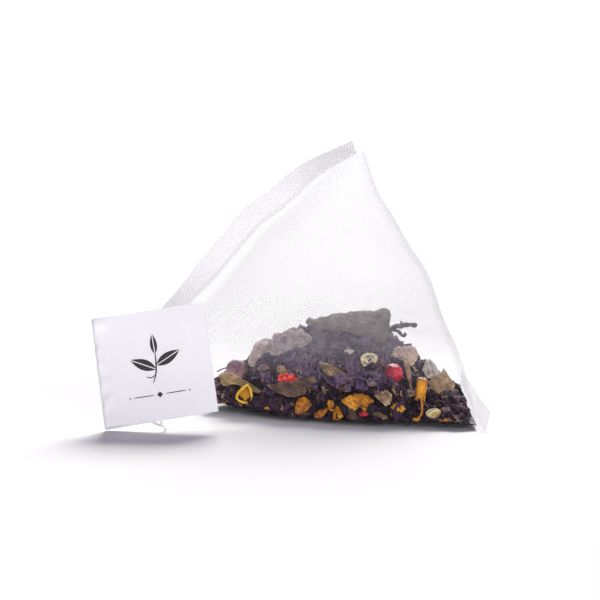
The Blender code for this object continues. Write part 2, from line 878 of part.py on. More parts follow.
def back_pieces():
    """The pieces on the heap's back slope."""
    return (
        (
            make_petal("back_olive_leaf", (0.22, 0.18, 0.09), *BACK_LEAF_CUT, curl=0.3),
            (-0.20, 0.34, 0.130),
            (-72, 20, 0),
        ),
        (
            make_petal("back_brown_leaf", BROWN, 8.0 * MM, 3.4 * MM, curl=0.3),
            (0.06, 0.40, 0.090),
            (-72, -15, 0),
        ),
        (
            make_petal("back_blossom_petal", PINK_GREY, 4.6 * MM, 3.6 * MM, curl=0.4),
            (-0.08, 0.34, 0.170),
            (-70, 30, 0),
        ),
        (
            make_petal("back_amber_petal", AMBER, 4.4 * MM, 3.0 * MM, curl=0.4),
            (0.16, 0.42, 0.070),
            (-75, 10, 0),
        ),
        (
            make_ball("back_crimson_berry", CRIMSON, 3.4 * MM, 3.2 * MM, 3.2 * MM, 0.10),
            (-0.13, 0.40, 0.090),
            (0, 0, 0),
        ),
        (
            make_stick("back_peel_stick", ORANGE, 5.0 * MM, 1.8 * MM, 1.2 * MM),
            (0.02, 0.38, 0.150),
            (90, 30, 0),
        ),
        (
            make_ball("back_dark_berry", PLUM, 3.6 * MM, 3.5 * MM, 3.6 * MM, 0.05),
            (-0.30, 0.30, 0.090),
            (0, 0, 0),
        ),
    )


# Tag and string


def tag_directions():
    """Right, up and back directions of the tag: rolled in its plane, leaned back, then turned about Z."""
    turn = Matrix.Rotation(TAG_YAW, 3, "Z") @ Matrix.Rotation(-TAG_LEAN, 3, "X")
    turn = turn @ Matrix.Rotation(-TAG_ROLL, 3, "Y")
    return turn @ Vector((1, 0, 0)), turn @ Vector((0, 0, 1)), turn @ Vector((0, 1, 0))


TAG_CORNER = (-0.702, -0.462, 0)
TAG_OPENING = STRING_DIAMETER + 2 * CLEARANCE + 0.0002


def tag_place(right, up, back):
    """A point of the tag, from the middle of its fold's lower end."""
    along, upward, behind = tag_directions()
    lift = Vector((0, 0, (TAG_OPENING / 2 + TAG_PAPER) * abs(behind.z) + 0.00002))
    return Vector(TAG_CORNER) * FLAT + lift + along * right + upward * up + behind * back


def make_tag():
    """One strip of paper, folded round on the left, with its two plies a string's room apart."""
    radius = TAG_OPENING / 2 + TAG_PAPER / 2
    path = [(TAG_SIDE * s, radius) for s in (1.0, 0.8, 0.6, 0.4, 0.2)]
    for n in range(7):
        turn = math.pi / 2 + math.pi * n / 6
        path.append((radius + radius * math.cos(turn), radius * math.sin(turn)))
    path += [(TAG_SIDE * s, -radius) for s in (0.2, 0.4, 0.6, 0.8, 1.0)]
    rows = 6
    points = [tag_place(x, TAG_SIDE * r / rows, y) for r in range(rows + 1) for x, y in path]
    count = len(path)
    faces = []
    for r in range(rows):
        for n in range(count - 1):
            a = r * count + n
            faces.append((a, a + 1, a + count + 1, a + count))
    tag = add_object("tag", mesh_from("tag", points, faces), (0.86, 0.85, 0.87), 0.85)
    paper = tag.modifiers.new("paper", "SOLIDIFY")
    paper.thickness = TAG_PAPER
    paper.offset = 0
    smooth(tag, 40)
    return tag


def make_string(name, route, count):
    path = smooth_path(np.array([tuple(p) for p in route]), count)
    path[:, 2] = np.maximum(path[:, 2], FLOOR_STRING)
    curve = bpy.data.curves.new(name, "CURVE")
    curve.dimensions = "3D"
    curve.bevel_depth = STRING_DIAMETER / 2
    curve.bevel_resolution = 2
    curve.use_fill_caps = True
    spline = curve.splines.new("POLY")
    spline.points.add(len(path) - 1)
    for place, point in zip(spline.points, path):
        place.co = (*point, 1)
    return add_object(name, curve, (0.9, 0.9, 0.88), 0.9)


COIL_CENTRE = (-0.636, -0.222, 0)
FLOOR_STRING = STRING_DIAMETER / 2 + 0.00002


def on_floor(x, y):
    return Vector((x * FLAT, y * FLAT, FLOOR_STRING))


def coil_edge(angle):
    """Where the string meets the coil's outer side at this angle in degrees, a clearance away."""
    turn = math.radians(angle)
    out = COIL_RADIUS + COIL_WIDTH / 2 + CLEARANCE + STRING_DIAMETER / 2
    middle = Vector(COIL_CENTRE) * FLAT
    return Vector((middle.x + out * math.cos(turn), middle.y + out * math.sin(turn), FLOOR_STRING))


def make_strings():
    corner = Vector(UPPER_SEAL_EDGE[0]) * FLAT
    leave = corner + Vector((-0.15, -0.25, -1)).normalized() * (CLEARANCE + STRING_DIAMETER / 2 + 0.0002)
    first = (
        leave,
        leave + Vector((-0.0003, -0.0006, -0.0014)),
        on_floor(-0.613, -0.082),
        on_floor(-0.602, -0.125),
        on_floor(-0.587, -0.172),
        coil_edge(20),
    )
    make_string("string_from_bag", first, 22)
    second = (
        coil_edge(-28),
        on_floor(-0.588, -0.285),
        on_floor(-0.567, -0.345),
        on_floor(-0.544, -0.405),
        on_floor(-0.544, -0.442),
        tag_place(0.0103, -0.00135, 0.00010),
        tag_place(0.0101, -0.00060, -0.00010),
        tag_place(0.0100, 0.0003, 0),
        tag_place(0.0100, 0.0020, 0),
        tag_place(0.0099, 0.0050, 0),
        tag_place(0.0100, 0.0080, 0),
    )
    make_string("string_to_tag", second, 46)
    make_coil()


def make_coil():
    """The wound part of the string, as the ring that its turns fill."""
    inner = COIL_RADIUS - COIL_WIDTH / 2
    outer = COIL_RADIUS + COIL_WIDTH / 2
    corner = COIL_WIDTH * 0.18
    low, high = 0.00002, COIL_HEIGHT
    profile = (
        (outer, high - corner),
        (outer, low + corner),
        (outer - corner, low),
        (inner + corner, low),
        (inner, low + corner),
        (inner, high - corner),
        (inner + corner, high),
        (outer - corner, high),
    )
    count = len(profile)
    mesh = bpy.data.meshes.new("string_coil")
    mesh.from_pydata([(x, 0, z) for x, z in profile], [(n, (n + 1) % count) for n in range(count)], [])
    coil = add_object("string_coil", mesh, (0.9, 0.9, 0.88), 0.9)
    coil.location = Vector(COIL_CENTRE) * FLAT
    turned = coil.modifiers.new("turned", "SCREW")
    turned.steps = 32
    turned.render_steps = 32
    turned.use_merge_vertices = True
    turned.merge_threshold = 0.00002
    return coil


clear_scene()
PARTS = new_collection("pyramid_tea_bag")
bag, film_inside = make_mesh_bag()
film = film_tree(film_inside)
heap = make_heap(film)
laid = []
seat_as_is(heap, laid)
LOOSE = ((FROM_ABOVE, top_pieces()), (FROM_FRONT, front_pieces()), (FROM_BACK, back_pieces()))
for direction, pieces in LOOSE:
    for piece, where, turned in pieces:
        seat(piece, where, turned, direction, film, laid)
make_tag()
make_strings()
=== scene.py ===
import math

import bpy
import numpy as np
from mathutils import Euler, Matrix, Vector, noise
from mathutils.bvhtree import BVHTree


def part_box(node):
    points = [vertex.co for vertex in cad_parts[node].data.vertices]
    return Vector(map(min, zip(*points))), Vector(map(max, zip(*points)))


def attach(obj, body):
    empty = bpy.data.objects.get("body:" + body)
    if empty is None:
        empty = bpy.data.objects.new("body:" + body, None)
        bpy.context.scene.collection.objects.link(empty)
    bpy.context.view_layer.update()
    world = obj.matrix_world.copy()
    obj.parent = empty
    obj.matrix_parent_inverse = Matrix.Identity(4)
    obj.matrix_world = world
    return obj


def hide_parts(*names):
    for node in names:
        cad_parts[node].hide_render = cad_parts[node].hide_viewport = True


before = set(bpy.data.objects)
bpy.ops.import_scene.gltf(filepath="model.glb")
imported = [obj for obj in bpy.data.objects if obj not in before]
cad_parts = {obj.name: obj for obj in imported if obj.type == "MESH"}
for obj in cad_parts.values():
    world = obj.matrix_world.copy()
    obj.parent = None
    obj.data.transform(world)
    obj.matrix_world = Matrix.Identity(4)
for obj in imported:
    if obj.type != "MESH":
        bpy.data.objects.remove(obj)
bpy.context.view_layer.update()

MM = 0.001
FLAT = 67.5  # half the girth of the film tube, so each seal's length
SEAL_BAND = 4.5
rng = np.random.default_rng(11)


# Camera, at the photograph's viewing angle

SENSOR = 36
PHOTO_WIDTH = 600
FOCAL_LENGTH = 2756  # in pixels of the photograph
LOOKS_DOWN = 5.31
camera_data = bpy.data.cameras.new("camera")
camera_data.sensor_width = SENSOR
camera_data.lens = SENSOR * FOCAL_LENGTH / PHOTO_WIDTH
camera_data.clip_start = 0.01
camera_data.clip_end = 20
camera = bpy.data.objects.new("camera", camera_data)
camera.location = (-0.0126, -0.520, 0.069)
camera.rotation_euler = (math.radians(90 - LOOKS_DOWN), 0, 0)
bpy.context.scene.collection.objects.link(camera)
bpy.context.scene.camera = camera


# Helpers


def unit(vectors):
    return vectors / np.linalg.norm(vectors, axis=-1, keepdims=True)


def resample(line, count):
    """The line as count points an even distance apart."""
    step = np.r_[0, np.cumsum(np.linalg.norm(np.diff(line, axis=0), axis=1))]
    at = np.linspace(0, step[-1], count)
    return np.stack([np.interp(at, step, line[:, k]) for k in range(3)], 1)


def smooth_path(points, count):
    """A smooth curve through the points, as count points an even distance apart."""
    points = np.array(points, float)
    ends = np.vstack([2 * points[0] - points[1], points, 2 * points[-1] - points[-2]])
    line = []
    for p0, p1, p2, p3 in zip(ends, ends[1:], ends[2:], ends[3:]):
        for t in np.linspace(0, 1, 24, endpoint=False):
            bend = 2 * p0 - 5 * p1 + 4 * p2 - p3
            last = 3 * p1 - p0 - 3 * p2 + p3
            line.append(0.5 * (2 * p1 + (p2 - p0) * t + bend * t**2 + last * t**3))
    line.append(points[-1])
    return resample(np.array(line), count)


def length_of(line):
    return np.linalg.norm(np.diff(line, axis=0), axis=1).sum()


def frames_along(path, lean):
    """Each point of the path with two ways square to it, which turn no more than they have to."""
    tangent = unit(np.gradient(path, axis=0))
    side = np.cross(tangent[0], lean)
    for p, t in zip(path, tangent):
        side = unit(side - t * side.dot(t))
        yield p, side, np.cross(t, side)


def drift(seed, x, y, z):
    """Smooth noise from -1 to 1."""
    return noise.noise(seed + Vector((x, y, z)))


def grid_faces(rows, cols):
    """Faces of a closed sheet whose two sides are grids of rows + 1 by cols + 1 points."""
    w, size = cols + 1, (rows + 1) * (cols + 1)
    faces = []
    for i in range(rows):
        for j in range(cols):
            n = i * w + j
            faces.append((n, n + w, n + w + 1, n + 1))
            faces.append((n + size, n + size + 1, n + size + w + 1, n + size + w))
    rim = [j for j in range(cols)] + [i * w + cols for i in range(rows)]
    rim += [rows * w + j for j in range(cols, 0, -1)] + [i * w for i in range(rows, 0, -1)]
    for n, m in zip(rim, rim[1:] + rim[:1]):
        faces.append((n, m, m + size, n + size))
    return faces


def tube_faces(steps, sides):
    """Faces of a closed tube of steps + 1 rings, with a face over each end."""
    faces = []
    for n in range(steps):
        for k in range(sides):
            m = (k + 1) % sides
            faces.append((n * sides + k, n * sides + m, (n + 1) * sides + m, (n + 1) * sides + k))
    faces.append(tuple(range(sides))[::-1])
    faces.append(tuple(steps * sides + k for k in range(sides)))
    return faces


def add_mesh(name, points, faces, materials, tones=None, uvs=None, face_materials=None, smooth=True):
    """A mesh object from points in millimetres. tones is one number a point and uvs one pair a point."""
    mesh = bpy.data.meshes.new(name)
    mesh.from_pydata((np.asarray(points) * MM).tolist(), [], faces)
    for made in materials:
        mesh.materials.append(made)
    if tones is not None:
        attribute = mesh.attributes.new("tone", "FLOAT", "POINT")
        attribute.data.foreach_set("value", np.asarray(tones, np.float32))
    if uvs is not None:
        layer = mesh.uv_layers.new(name="weave")
        loops = np.empty(len(mesh.loops), np.int32)
        mesh.loops.foreach_get("vertex_index", loops)
        layer.data.foreach_set("uv", np.asarray(uvs, np.float32)[loops].ravel())
    if face_materials is not None:
        mesh.polygons.foreach_set("material_index", np.asarray(face_materials, np.int32))
    if smooth:
        mesh.shade_smooth()
    mesh.update()
    obj = bpy.data.objects.new(name, mesh)
    bpy.context.scene.collection.objects.link(obj)
    return obj


class Nodes:
    """Short calls for making a material's nodes."""

    def __init__(self, name):
        self.material = bpy.data.materials.new(name)
        self.material.use_nodes = True
        self.tree = self.material.node_tree
        self.shader = self.tree.nodes["Principled BSDF"]
        self.output = self.tree.nodes["Material Output"]

    def add(self, kind, inputs=None, **settings):
        node = self.tree.nodes.new(kind)
        for key, value in settings.items():
            setattr(node, key, value)
        for key, value in (inputs or {}).items():
            if hasattr(value, "is_linked"):
                self.tree.links.new(value, node.inputs[key])
            else:
                node.inputs[key].default_value = value
        return node

    def math(self, operation, a, b=0.0, c=0.0):
        node = self.add("ShaderNodeMath", {0: a, 1: b, 2: c}, operation=operation)
        return node.outputs[0]

    def noise(self, vector, scale, detail=3.0, roughness=0.6, distortion=0.0):
        inputs = {"Vector": vector, "Scale": scale, "Detail": detail}
        inputs.update({"Roughness": roughness, "Distortion": distortion})
        return self.add("ShaderNodeTexNoise", inputs).outputs["Fac"]

    def ramp(self, value, stops, interpolation="LINEAR"):
        node = self.add("ShaderNodeValToRGB", {"Fac": value})
        node.color_ramp.interpolation = interpolation
        elements = node.color_ramp.elements
        while len(elements) < len(stops):
            elements.new(0.5)
        for element, (position, colour) in zip(elements, stops):
            element.position = position
            element.color = (*colour, 1)
        return node.outputs["Color"]

    def link(self, value, socket):
        self.tree.links.new(value, self.shader.inputs[socket])

    def finish(self, roughness, specular=0.5):
        self.shader.inputs["Roughness"].default_value = roughness
        self.shader.inputs["Specular IOR Level"].default_value = specular

    def place(self):
        return self.add("ShaderNodeTexCoord").outputs["Object"]

    def bump(self, height, strength, distance):
        node = self.add("ShaderNodeBump", {"Height": height, "Strength": strength, "Distance": distance})
        self.link(node.outputs["Normal"], "Normal")


def plant_material(name, tints, grain, roughness, specular):
    """Dried plant: mottled and finely wrinkled, in three tints. The tone of a point shifts its shade."""
    m = Nodes(name)
    place = m.place()
    mottle = m.noise(place, grain, 5.0, 0.68, 0.5)
    fine = m.noise(place, grain * 3.3, 4.0, 0.7)
    broad = m.noise(place, grain * 0.28, 2.0, 0.5)
    value = m.math("MULTIPLY_ADD", fine, 0.40, m.math("MULTIPLY", mottle, 0.62))
    value = m.math("MULTIPLY_ADD", broad, 0.30, m.math("SUBTRACT", value, 0.16))
    tone = m.add("ShaderNodeAttribute", attribute_name="tone").outputs["Fac"]
    value = m.math("MULTIPLY_ADD", m.math("SUBTRACT", tone, 0.5), 0.5, value)
    m.link(m.ramp(value, list(zip((0.30, 0.50, 0.70), tints))), "Base Color")
    m.finish(roughness, specular)
    m.bump(m.math("ADD", fine, m.math("MULTIPLY", mottle, 0.9)), 0.8, 0.0002)
    return m.material


# Film: one strip of mesh, as a tube sealed flat at both ends, a quarter turn apart

TOP_LINE = ((0.290, 0, 0.006), (0.286, 0, 0.068), (0.255, 0, 0.160), (0.224, 0, 0.236), (0.169, 0, 0.385),
            (0.076, 0, 0.533), (0.021, 0, 0.637), (-0.013, 0, 0.741))
BASE_LINE = ((0.290, 0, 0), (0.148, 0, 0), (-0.059, 0, 0), (-0.237, 0, 0), (-0.400, -0.015, 0.015),
             (-0.548, -0.044, 0.041))
UPPER_SEAL_EDGE = ((-0.612, -0.044, 0.052), (-0.618, -0.040, 0.141), (-0.606, -0.036, 0.216),
                   (-0.575, -0.030, 0.283), (-0.527, -0.022, 0.339), (-0.453, -0.015, 0.434),
                   (-0.347, 0.000, 0.559), (-0.276, 0.004, 0.612), (-0.187, 0.009, 0.684),
                   (-0.083, 0.012, 0.733), (-0.041, 0.012, 0.751))
UPPER_SEAL_TWIST = (45, 50, 55, 40, 12, 8, 10, 20, 45, 58)
FOOT_SEAL_X = 0.290
AROUND = 176
ALONG = 104
BAND_ROWS = 9
SPINE_POINTS = 41
SECTION_STEPS = 480
LEAST_WIDTH = 0.1
LEAST_HEIGHT = 0.03
PLY_APART = 0.05
UV_UNIT = 100  # millimetres in one unit of the weave's map
THREAD_PITCH = 0.40
RIB_PITCH, ROW_PITCH = 0.55, 0.9
FILM_TINT = (0.80, 0.78, 0.82)
WORN_TINT = (0.68, 0.66, 0.70)
GRADED_HEIGHT = 50
# Stops of height in millimetres and value: how much the film hides, and how far its weave shows
# The haze by height is painted light and shade: nearly clear near the floor, where the film is in shade,
# and thickest higher up, where light falls on its threads
PAINTED_LIGHT_VEIL = ((0.0, 0.015), (6.5, 0.02), (10.0, 0.10), (13.5, 0.30), (18.0, 0.31), (24.0, 0.23), (46.0, 0.24))
WEAVE_DEPTH = ((0.0, 0.75), (18.0, 0.7), (24.0, 0.22), (48.0, 0.12))


def upper_seal(count):
    """The upper seal's inner and outer edges, and the way its face looks."""
    edge = smooth_path(np.array(UPPER_SEAL_EDGE) * FLAT, count)
    tangent = unit(np.gradient(edge, axis=0))
    across = np.cross([0, 1, 0], tangent)
    across *= -np.sign(across[count // 2, 0]) / np.linalg.norm(across, axis=1)[:, None]
    share = np.linspace(0, 1, count)
    twist = np.radians(np.interp(share, np.linspace(0, 1, len(UPPER_SEAL_TWIST)), UPPER_SEAL_TWIST))
    outward = across * np.cos(twist)[:, None] + np.array([0, 1, 0]) * np.sin(twist)[:, None]
    normal = np.cross(tangent, outward)
    normal *= -np.sign(normal[count // 2, 1]) / np.linalg.norm(normal, axis=1)[:, None]
    return edge - outward * SEAL_BAND, edge, normal


def section(width, spine, share):
    """One closed ring of the tube: flat at its foot, rounded in the middle, pointed at the top fold."""
    swell = math.sin(math.pi * share)
    turn = np.linspace(math.pi / 2, math.pi / 2 + 2 * math.pi, SECTION_STEPS + 1)
    side, rise = -np.cos(turn), np.sin(turn)
    power = np.where(rise < 0, 2.1 + 4.4 * swell**1.5, 2.1 - 0.75 * swell)
    side = -np.sign(side) * np.abs(side) ** (2 / power)
    rise = np.sign(rise) * np.abs(rise) ** (2 / power)
    widest = -0.84 * max(swell, 0) ** 0.55
    rise = np.where(rise < 0, widest + (1 + widest) * rise, widest + (1 - widest) * rise)
    at = np.linspace(-1, 1, len(spine))
    outline = np.stack([np.interp(rise, at, spine[:, k]) for k in range(3)], 1)
    outline[:, 1] += width * side
    return outline


def film_rings():
    """The tube's rings from the foot seal to the upper one, each as long around as the film is."""
    top = smooth_path(np.array(TOP_LINE) * FLAT, ALONG)
    base = smooth_path(np.array(BASE_LINE) * FLAT, ALONG)
    inner, _, _ = upper_seal(SPINE_POINTS)
    base[-1], top[-1] = inner[0], inner[-1]
    reach = np.linspace(0, 1, SPINE_POINTS)[:, None]
    bow = inner - (inner[0] + reach * (inner[-1] - inner[0]))
    gathered = FLAT - length_of(inner) * 1.004
    rings = []
    for i in range(ALONG):
        share = i / (ALONG - 1)
        spine = base[i] + reach * (top[i] - base[i]) + bow * share**1.6
        around = 2 * FLAT - 2 * gathered * share**3
        low, high = 0.0, FLAT
        for _ in range(32):
            width = (low + high) / 2
            if length_of(section(width, spine, share)) > around:
                high = width
            else:
                low = width
        outline = section(max(low, LEAST_WIDTH), spine, share)
        half = len(outline) // 2
        front = resample(outline[: half + 1], AROUND // 2 + 1)[:-1]
        back = resample(outline[half:], AROUND // 2 + 1)[:-1]
        rings.append(np.vstack([front, back]))
    return np.array(rings)


def wrinkled(rings):
    """The tube with soft pulls that fan out from its corners and small dents between them."""
    normals = np.cross(np.gradient(rings, axis=0), np.roll(rings, -1, 1) - np.roll(rings, 1, 1))
    normals /= np.maximum(np.linalg.norm(normals, axis=2), 1e-6)[:, :, None]
    out = rings.copy()
    for i in range(ALONG):
        share = i / (ALONG - 1)
        fade = math.sin(math.pi * min(1, share * 1.02 + 0.01)) ** 0.7
        for k in range(AROUND):
            turn = 2 * math.pi * k / AROUND
            p = rings[i, k]
            pull = noise.noise(Vector((math.cos(turn) * 3.4, math.sin(turn) * 3.4, share * 1.6)))
            dent = noise.noise(Vector(p) * 0.11 + Vector((5, 2, 9)))
            crease = noise.noise(Vector((k * 0.23, share * 2.2, 4.0)))
            upper = min(1.0, max(0.0, (p[2] - 1.5) / 6))
            move = (pull * 0.55 + dent * 0.8 + crease * 0.22 * (1 - fade * 0.6)) * fade * upper
            out[i, k] = p + normals[i, k] * move
    out[:, :, 2] = np.maximum(out[:, :, 2], LEAST_HEIGHT)
    return out


def graded(m, stops):
    """A value that follows height above the floor, from stops of (millimetres, value)."""
    high = m.add("ShaderNodeSeparateXYZ", {0: m.place()}).outputs["Z"]
    share = m.math("MULTIPLY", high, 1000 / GRADED_HEIGHT)
    grey = [(z / GRADED_HEIGHT, (value, value, value)) for z, value in stops]
    return m.ramp(share, grey, "EASE")


def thread_shader(m, glow_share, alpha):
    """Clear thread that lets light through it and shows what lies behind where there is none."""
    glow = m.add("ShaderNodeBsdfTranslucent", {"Color": (*FILM_TINT, 1)})
    body = m.add("ShaderNodeMixShader", {0: glow_share, 1: m.shader.outputs[0], 2: glow.outputs[0]})
    clear = m.add("ShaderNodeBsdfTransparent")
    mixed = m.add("ShaderNodeMixShader", {0: alpha, 1: clear.outputs[0], 2: body.outputs[0]})
    m.tree.links.new(mixed.outputs[0], m.output.inputs["Surface"])


def weave_map(m):
    uv = m.add("ShaderNodeUVMap", uv_map="weave").outputs["UV"]
    return m.add("ShaderNodeSeparateXYZ", {0: uv}).outputs


def film_material():
    """Square mesh: threads each way on the film's map, with a thin haze between them."""
    m = Nodes("film_weave")
    parts = weave_map(m)
    threads = []
    for axis in ("X", "Y"):
        along = m.math("MULTIPLY", parts[axis], UV_UNIT / THREAD_PITCH)
        wave = m.math("ABSOLUTE", m.math("SUBTRACT", m.math("FRACT", along), 0.5))
        step = m.add("ShaderNodeMapRange", {0: wave, 1: 0.09, 2: 0.19, 3: 1.0, 4: 0.0})
        threads.append(step.outputs[0])
    mask = m.math("MAXIMUM", *threads)
    cloud = m.noise(m.place(), 70.0, 3.0, 0.5)
    # Painted light: the haze follows height, with a random cloud over it
    painted_light_veil = m.math("MULTIPLY", graded(m, PAINTED_LIGHT_VEIL), m.math("MULTIPLY_ADD", cloud, 0.7, 0.65))
    depth = graded(m, WEAVE_DEPTH)
    alpha = m.math("MULTIPLY", painted_light_veil, m.math("MULTIPLY_ADD", mask, depth, m.math("SUBTRACT", 1.0, depth)))
    fold = m.add("ShaderNodeAttribute", attribute_name="tone").outputs["Fac"]
    alpha = m.math("MULTIPLY_ADD", fold, 0.17, alpha)
    m.shader.inputs["Base Color"].default_value = (0.76, 0.74, 0.79, 1)
    m.finish(0.42, 0.35)
    thread_shader(m, 0.12, alpha)
    return m.material


def seal_material(name, low, high):
    """The pressed seal: two plies fused, with fine ribs in rows, hiding a share from low to high."""
    m = Nodes(name)
    parts = weave_map(m)
    across = m.math("SINE", m.math("MULTIPLY", parts["X"], UV_UNIT * 2 * math.pi / RIB_PITCH))
    down = m.math("SINE", m.math("MULTIPLY", parts["Y"], UV_UNIT * 2 * math.pi / ROW_PITCH))
    pattern = m.math("MULTIPLY", across, m.math("MULTIPLY", down, down))
    worn = m.noise(m.place(), 260.0, 4.0, 0.6)
    m.link(m.ramp(worn, ((0.3, WORN_TINT), (0.7, FILM_TINT))), "Base Color")
    m.finish(0.34)
    m.bump(pattern, 0.45, 0.0002)
    fused = m.math("MULTIPLY_ADD", worn, high - low, low)
    fused = m.math("MULTIPLY_ADD", pattern, 0.05, fused)
    thread_shader(m, 0.10, fused)
    return m.material


def film_bands():
    """The whole bag as one surface, in three bands of rings: foot seal, tube, upper seal."""
    plain = film_rings()
    tube = wrinkled(plain)
    tube[0] = plain[0]
    count = AROUND // 2 + 1
    inner, edge, normal = upper_seal(count)
    upper = []
    for row in range(1, BAND_ROWS + 1):
        share = row / BAND_ROWS
        middle = inner + (edge - inner) * share
        wave = 0.05 * np.sin(np.linspace(0, 21, count)) * share
        middle = middle + normal * (wave * np.minimum(1, np.linspace(0, 6, count)))[:, None]
        ply = normal * PLY_APART
        upper.append(np.vstack([(middle + ply)[::-1], (middle - ply)[1:-1]]))
    foot = []
    out = FOOT_SEAL_X * FLAT
    for row in range(1, BAND_ROWS + 1):
        share = row / BAND_ROWS
        bend = 1.25 * share**0.55
        ring = tube[0].copy()
        for k in range(AROUND):
            y = tube[0][k, 1]
            side = 1 if k <= AROUND // 4 or k >= 3 * AROUND // 4 else -1
            wave = 0.03 * math.sin(y * 0.35 + 1.3) * share
            near = 0.5 - 0.5 * y / (FLAT / 2)
            ring[k, 0] = out + 0.25 + bend * (0.15 + 0.95 * near) - side * PLY_APART + wave
            ring[k, 2] = 0.05 + (3.3 + 0.45 * near) * share**1.6
        foot.append(ring)
    return foot, tube, upper


def make_film(rows):
    """The film's mesh, with its weave's map and a tone that rises along the fold on the right."""
    lengths = np.r_[0, np.cumsum([np.linalg.norm(b - a, axis=1).mean() for a, b in zip(rows, rows[1:])])]
    points, uvs, tones, faces, bands = [], [], [], [], []
    top_fold = np.array(TOP_LINE) * FLAT
    around = np.linspace(0, 2 * FLAT, AROUND + 1)
    for ring, along in zip(rows, lengths):
        closed = np.vstack([ring, ring[:1]])
        points.append(closed)
        beyond = closed[:, 0] - np.interp(closed[:, 2], top_fold[:, 2], top_fold[:, 0])
        tones.append(np.exp(-(beyond**2)) * (closed[:, 2] > 1.5))
        uvs.append(np.stack([around / UV_UNIT, np.full(AROUND + 1, along / UV_UNIT)], 1))
    wide = AROUND + 1
    for i in range(len(rows) - 1):
        band = 2 if i < BAND_ROWS else int(i >= BAND_ROWS + ALONG - 1)
        for k in range(AROUND):
            faces.append((i * wide + k, i * wide + k + 1, (i + 1) * wide + k + 1, (i + 1) * wide + k))
            bands.append(band)
    skins = [film_material(), seal_material("upper_seal_film", 0.24, 0.50)]
    skins.append(seal_material("foot_seal_film", 0.06, 0.24))
    points, tones, uvs = np.vstack(points), np.concatenate(tones), np.vstack(uvs)
    return add_mesh("film", points, faces, skins, tones, uvs, bands)


foot_rows, tube_rows, upper_rows = film_bands()
film = make_film(foot_rows[::-1] + list(tube_rows) + upper_rows)

# The film's inner side, for keeping the filling inside it
ring_points = [Vector(p) for ring in tube_rows for p in ring]
ring_faces = []
for i in range(ALONG - 1):
    for k in range(AROUND):
        n = (k + 1) % AROUND
        ring_faces.append((i * AROUND + k, (i + 1) * AROUND + k, (i + 1) * AROUND + n, i * AROUND + n))
inside_tree = BVHTree.FromPolygons(ring_points, ring_faces)
heart = Vector((0, 0, 8))
near, normal, _, _ = inside_tree.find_nearest(heart)
if normal.dot(heart - near) < 0:
    inside_tree = BVHTree.FromPolygons(ring_points, [face[::-1] for face in ring_faces])


def pressed(points, margin, depth):
    """Points that come near the film or pass it are pressed flat against its inner side."""
    out = np.array(points, float)
    for n, point in enumerate(out):
        p = Vector(point)
        near, normal, _, _ = inside_tree.find_nearest(p)
        d = (p - near).dot(normal)
        if d < depth:
            room = depth - margin
            goal = margin + room * math.exp((d - depth) / room)
            out[n] = p + normal * (goal - d)
    return out


# Filling

# The heap along x: where, the height of its crest, and the y of its front and back edges, in millimetres
HEAP = np.array((
    (-31, 2.0, -7, 7), (-28, 4.4, -9.5, 8.5), (-24, 7.0, -13, 12.5), (-20, 9.3, -16, 16),
    (-16, 11.6, -18.5, 18), (-10, 14.2, -21.5, 20.5), (-4, 15.0, -24.5, 22.5), (1, 14.8, -26.4, 24),
    (4, 13.4, -27, 24.6), (6, 11.4, -27.6, 25), (9, 8.6, -28, 25.6), (11, 7.2, -28.4, 26),
    (13, 5.4, -29, 26.4), (16, 3.3, -30, 26.6), (19, 1.7, -31, 26.6), (20.5, 1.0, -31.4, 27),
))


def on_heap(x, share):
    """A point of the heap and its outward way. share is -1 at the front edge and 1 at the back."""
    crest, front, back = (np.interp(x, HEAP[:, 0], HEAP[:, k]) for k in (1, 2, 3))
    middle, half = (front + back) / 2, (back - front) / 2
    z = crest * max(0, 1 - share**2) ** 0.8
    rise = 1.6 * share * crest / max(0.2, (1 - share**2) ** 0.2) / half
    down = (np.interp(x - 1, HEAP[:, 0], HEAP[:, 1]) - np.interp(x + 1, HEAP[:, 0], HEAP[:, 1])) / 2
    up = np.array([down * (1 - share**2) ** 0.8, rise, 1.0])
    return np.array([x, middle + half * share, z + 0.3]), unit(up)


def thickened(top, thick, tones):
    """A closed sheet from a grid of points, thinner toward its rim."""
    down = np.cross(np.gradient(top, axis=0), np.gradient(top, axis=1))
    down /= np.maximum(np.linalg.norm(down, axis=2), 1e-9)[:, :, None]
    edge = np.ones(top.shape[:2])
    edge[0], edge[-1] = 0.4, 0.4
    edge[:, 0], edge[:, -1] = 0.4, 0.4
    half = down * (thick / 2 * edge)[:, :, None]
    points = np.vstack([(top + half).reshape(-1, 3), (top - half).reshape(-1, 3)])
    faces = grid_faces(tones.shape[0] - 1, tones.shape[1] - 1)
    return points, faces, np.concatenate([tones.ravel(), tones.ravel()])


